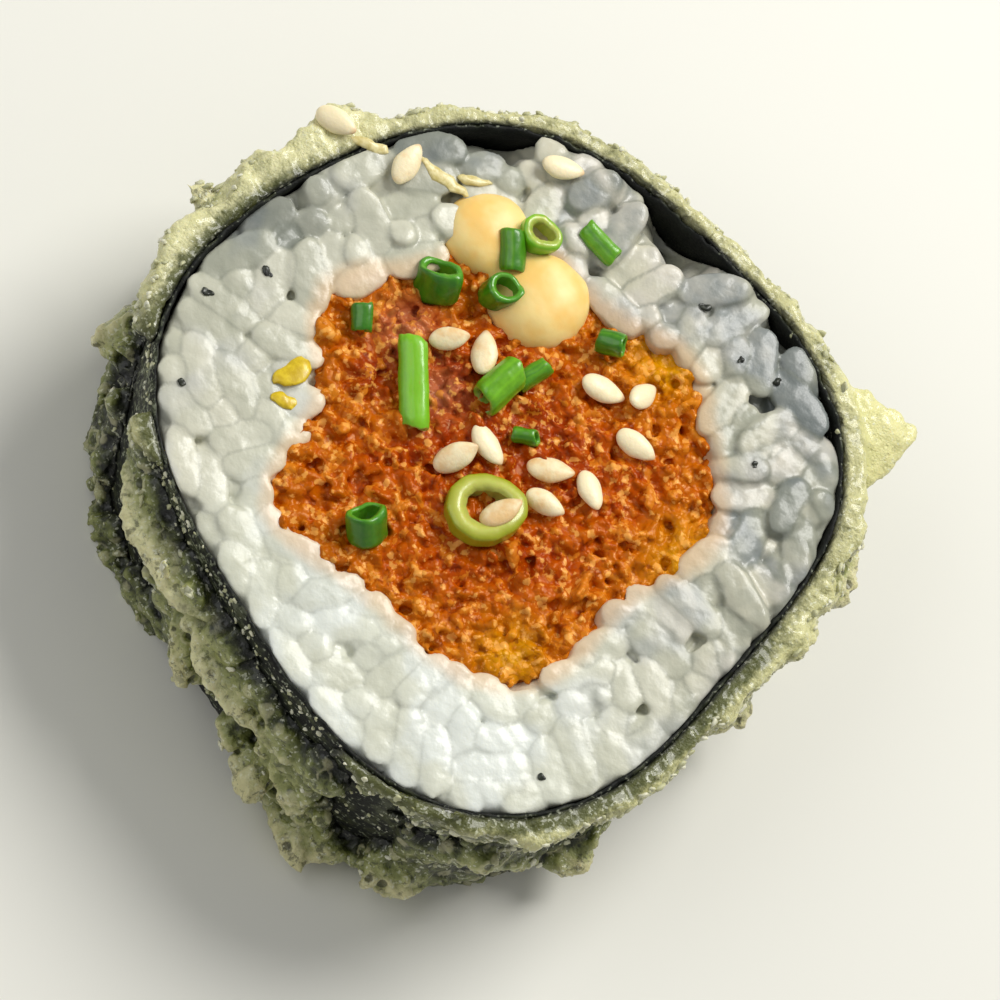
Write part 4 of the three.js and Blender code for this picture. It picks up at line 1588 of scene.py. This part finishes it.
def chivePaint():
    paint = Paint("fresh chive")
    fine = paint.noise(0.5, 3, 0.5)
    ripe = paint.mark("ripe") + 0.45 * (paint.mark("streak") - 0.5) + 0.3 * (fine - 0.5)
    skin = paint.mix(rgb(54, 122, 12), rgb(128, 196, 26), ripe.between(0.0, 0.8))
    skin = paint.mix(skin, rgb(164, 170, 30), ripe.between(0.8, 1.0))
    flesh = paint.mix(rgb(88, 160, 34), rgb(198, 202, 96), ripe.between(0.1, 1.0))
    colour = paint.mix(skin, flesh, paint.mark("inside"))
    return paint.finish(
        {
            "Base Color": colour,
            "Roughness": 0.25 + 0.2 * fine,
            **softLight(0.25, (0.5, 1.0, 0.2), 0.5),
            "Coat Weight": 0.4,
            "Coat Roughness": 0.12,
            "Normal": paint.bump(fine, 0.06, 0.6),
        }
    )


def chiveTube(radius, length, wallShare, chance, seed):
    columns, rows = 40, 11
    angle = np.arange(columns) / columns * turn
    oval, slant, phase = chance.uniform(0.66, 0.95), chance.uniform(-0.25, 0.25), chance.uniform(0, turn)
    rough = 1.0
    if wallShare > chives["roundFrom"]:
        oval, slant, rough = 0.94, 0.06, 0.25
    lobes = 1 + 0.05 * np.sin(2 * angle + phase) + 0.035 * np.sin(3 * angle - phase)
    lobes = lobes + 0.012 * np.sin(11 * angle)
    streak = 0.5 + 0.5 * noiseAt(onWall(angle, 1.0, 0 * angle) + seed, 0.28, 187)
    profile = [(x, 0.0) for x in np.linspace(-1, 1, rows)]
    profile += [(1.0, 0.5)] + [(x, 1.0) for x in np.linspace(1, -1, rows)] + [(-1.0, 0.5)]
    rings, inside = [], []
    for x, depth in profile:
        out = radius * (lobes - depth * wallShare - (0.05 if abs(x) == 1 and depth != 0.5 else 0))
        end = 0.06 * radius if depth == 0.5 else 0
        along = x * length / 2 + math.copysign(end, x) + slant * radius * np.cos(angle) * abs(x)
        rings.append(np.stack([along, out * np.cos(angle), out * oval * np.sin(angle)], axis=1))
        inside.append(np.full(columns, min(1.0, 1.7 * depth)))
    points = np.vstack(rings)
    frayed = layeredNoise(points * (0, 1, 1) + seed, 1.1 * radius, 2, 181)
    points[:, 0] += 0.16 * rough * radius * frayed * np.sign(points[:, 0])
    points[:, 1] += chance.uniform(-0.035, 0.035) * points[:, 0] ** 2
    points[:, 1] += 0.07 * rough * radius * noiseAt(points + seed, radius, 183)
    points[:, 2] += 0.07 * rough * radius * noiseAt(points + seed, radius, 184)
    faces = gridFaces(len(profile), columns, True, True)[:, ::-1]
    return points, faces, np.concatenate(inside), np.tile(streak, len(profile))


def makeChives(heightAt):
    chance = np.random.default_rng(191)
    heap = Heap()
    for i, (x, y, radius, length, heading, rise, wallShare, ripe) in enumerate(chives["places"]):
        points, faces, inside, streak = chiveTube(radius, length, wallShare, chance, 7.7 * i)
        points = turned(points, chance.uniform(0, 360), rise, heading)
        level = np.mean(heightAt(x, y, 0.6 * radius)) - points[:, 2].min() - 0.25 - 0.08 * radius
        level = min(level, chives["highest"] - points[:, 2].max())
        heap.add(points + (x, y, level), faces, inside=inside, ripe=ripe, streak=streak)
    print("chives:", len(chives["places"]))
    mesh = heap.mesh("chiveRings")
    return makePiece("chiveRings", mesh, chivePaint(), ["filling", "rice", "mayo"])


def makeFloor():
    half = 600
    corners = [(-half, -half, 0), (half, -half, 0), (half, half, 0), (-half, half, 0)]
    mesh = makeMesh("floor", corners, [(0, 1, 2, 3)], smooth=False)
    floor = newObject("floor", mesh)
    paint = Paint("pale floor")
    mesh.materials.append(paint.finish({"Base Color": rgb(236, 235, 226), "Roughness": 0.6}))


light = {
    # name, where from, size in mm, power in watts, colour
    "lamps": [
        ("keyLamp", (60, 330, 380), 280, 2.3, (1.0, 0.985, 0.955)),
        ("fillLamp", (-300, -160, 360), 420, 0.5, (0.97, 0.985, 1.0)),
    ],
    "sky": 0.3,
}


def makeLights():
    for name, place, size, power, colour in light["lamps"]:
        lamp = bpy.data.lights.new(name, "AREA")
        lamp.shape, lamp.size, lamp.energy, lamp.color = "DISK", size * mm, power, colour
        stand = newObject(name, lamp)
        stand.location = Vector(place) * mm
        stand.rotation_euler = (-stand.location).to_track_quat("-Z", "Y").to_euler()
    world = bpy.data.worlds.new("studio")
    bpy.context.scene.world = world
    world.use_nodes = True
    sky = world.node_tree.nodes["Background"]
    sky.inputs["Color"].default_value = (1.0, 1.0, 0.99, 1)
    sky.inputs["Strength"].default_value = light["sky"]
    bpy.context.scene.view_settings.view_transform = "Standard"


camera = {
    "elevation": 68.5,         # degrees above the floor
    "tilt": 43,                # the picture's turn about the line of sight
    "lens": 235,
    "across": 66,              # mm of the object's plane that the picture shows
    "aim": (2.1, 0.1, 10),
}


def makeCamera():
    data = bpy.data.cameras.new("camera")
    data.lens, data.sensor_width = camera["lens"], 36
    data.clip_start, data.clip_end = 0.01, 10
    stand = newObject("camera", data)
    high, tilt = math.radians(camera["elevation"]), math.radians(camera["tilt"])
    back = Vector((0, -math.cos(high), math.sin(high)))
    right, up = Vector((1, 0, 0)), Vector((0, math.sin(high), math.cos(high)))
    pictureRight = right * math.cos(tilt) + up * math.sin(tilt)
    pictureUp = up * math.cos(tilt) - right * math.sin(tilt)
    distance = camera["across"] * mm * camera["lens"] / data.sensor_width
    stand.matrix_world = Matrix.Translation(Vector(camera["aim"]) * mm + back * distance) @ Matrix(
        (pictureRight, pictureUp, back)
    ).transposed().to_4x4()
    bpy.context.scene.camera = stand


makeCamera()
makeLights()
makeFloor()
batterCoat = makeBatter()
makeFrost([batterCoat, makeNori()])
riceFace = makeRice()
fillingFace = makeFilling()
mayoDots = makeMayo()
chiveRings = makeChives(overPieces([riceFace, fillingFace, mayoDots]))
heightAt = overPieces([batterCoat, riceFace, fillingFace, mayoDots, chiveRings])
makeSesame(heightAt)
makeLooseBits(heightAt)
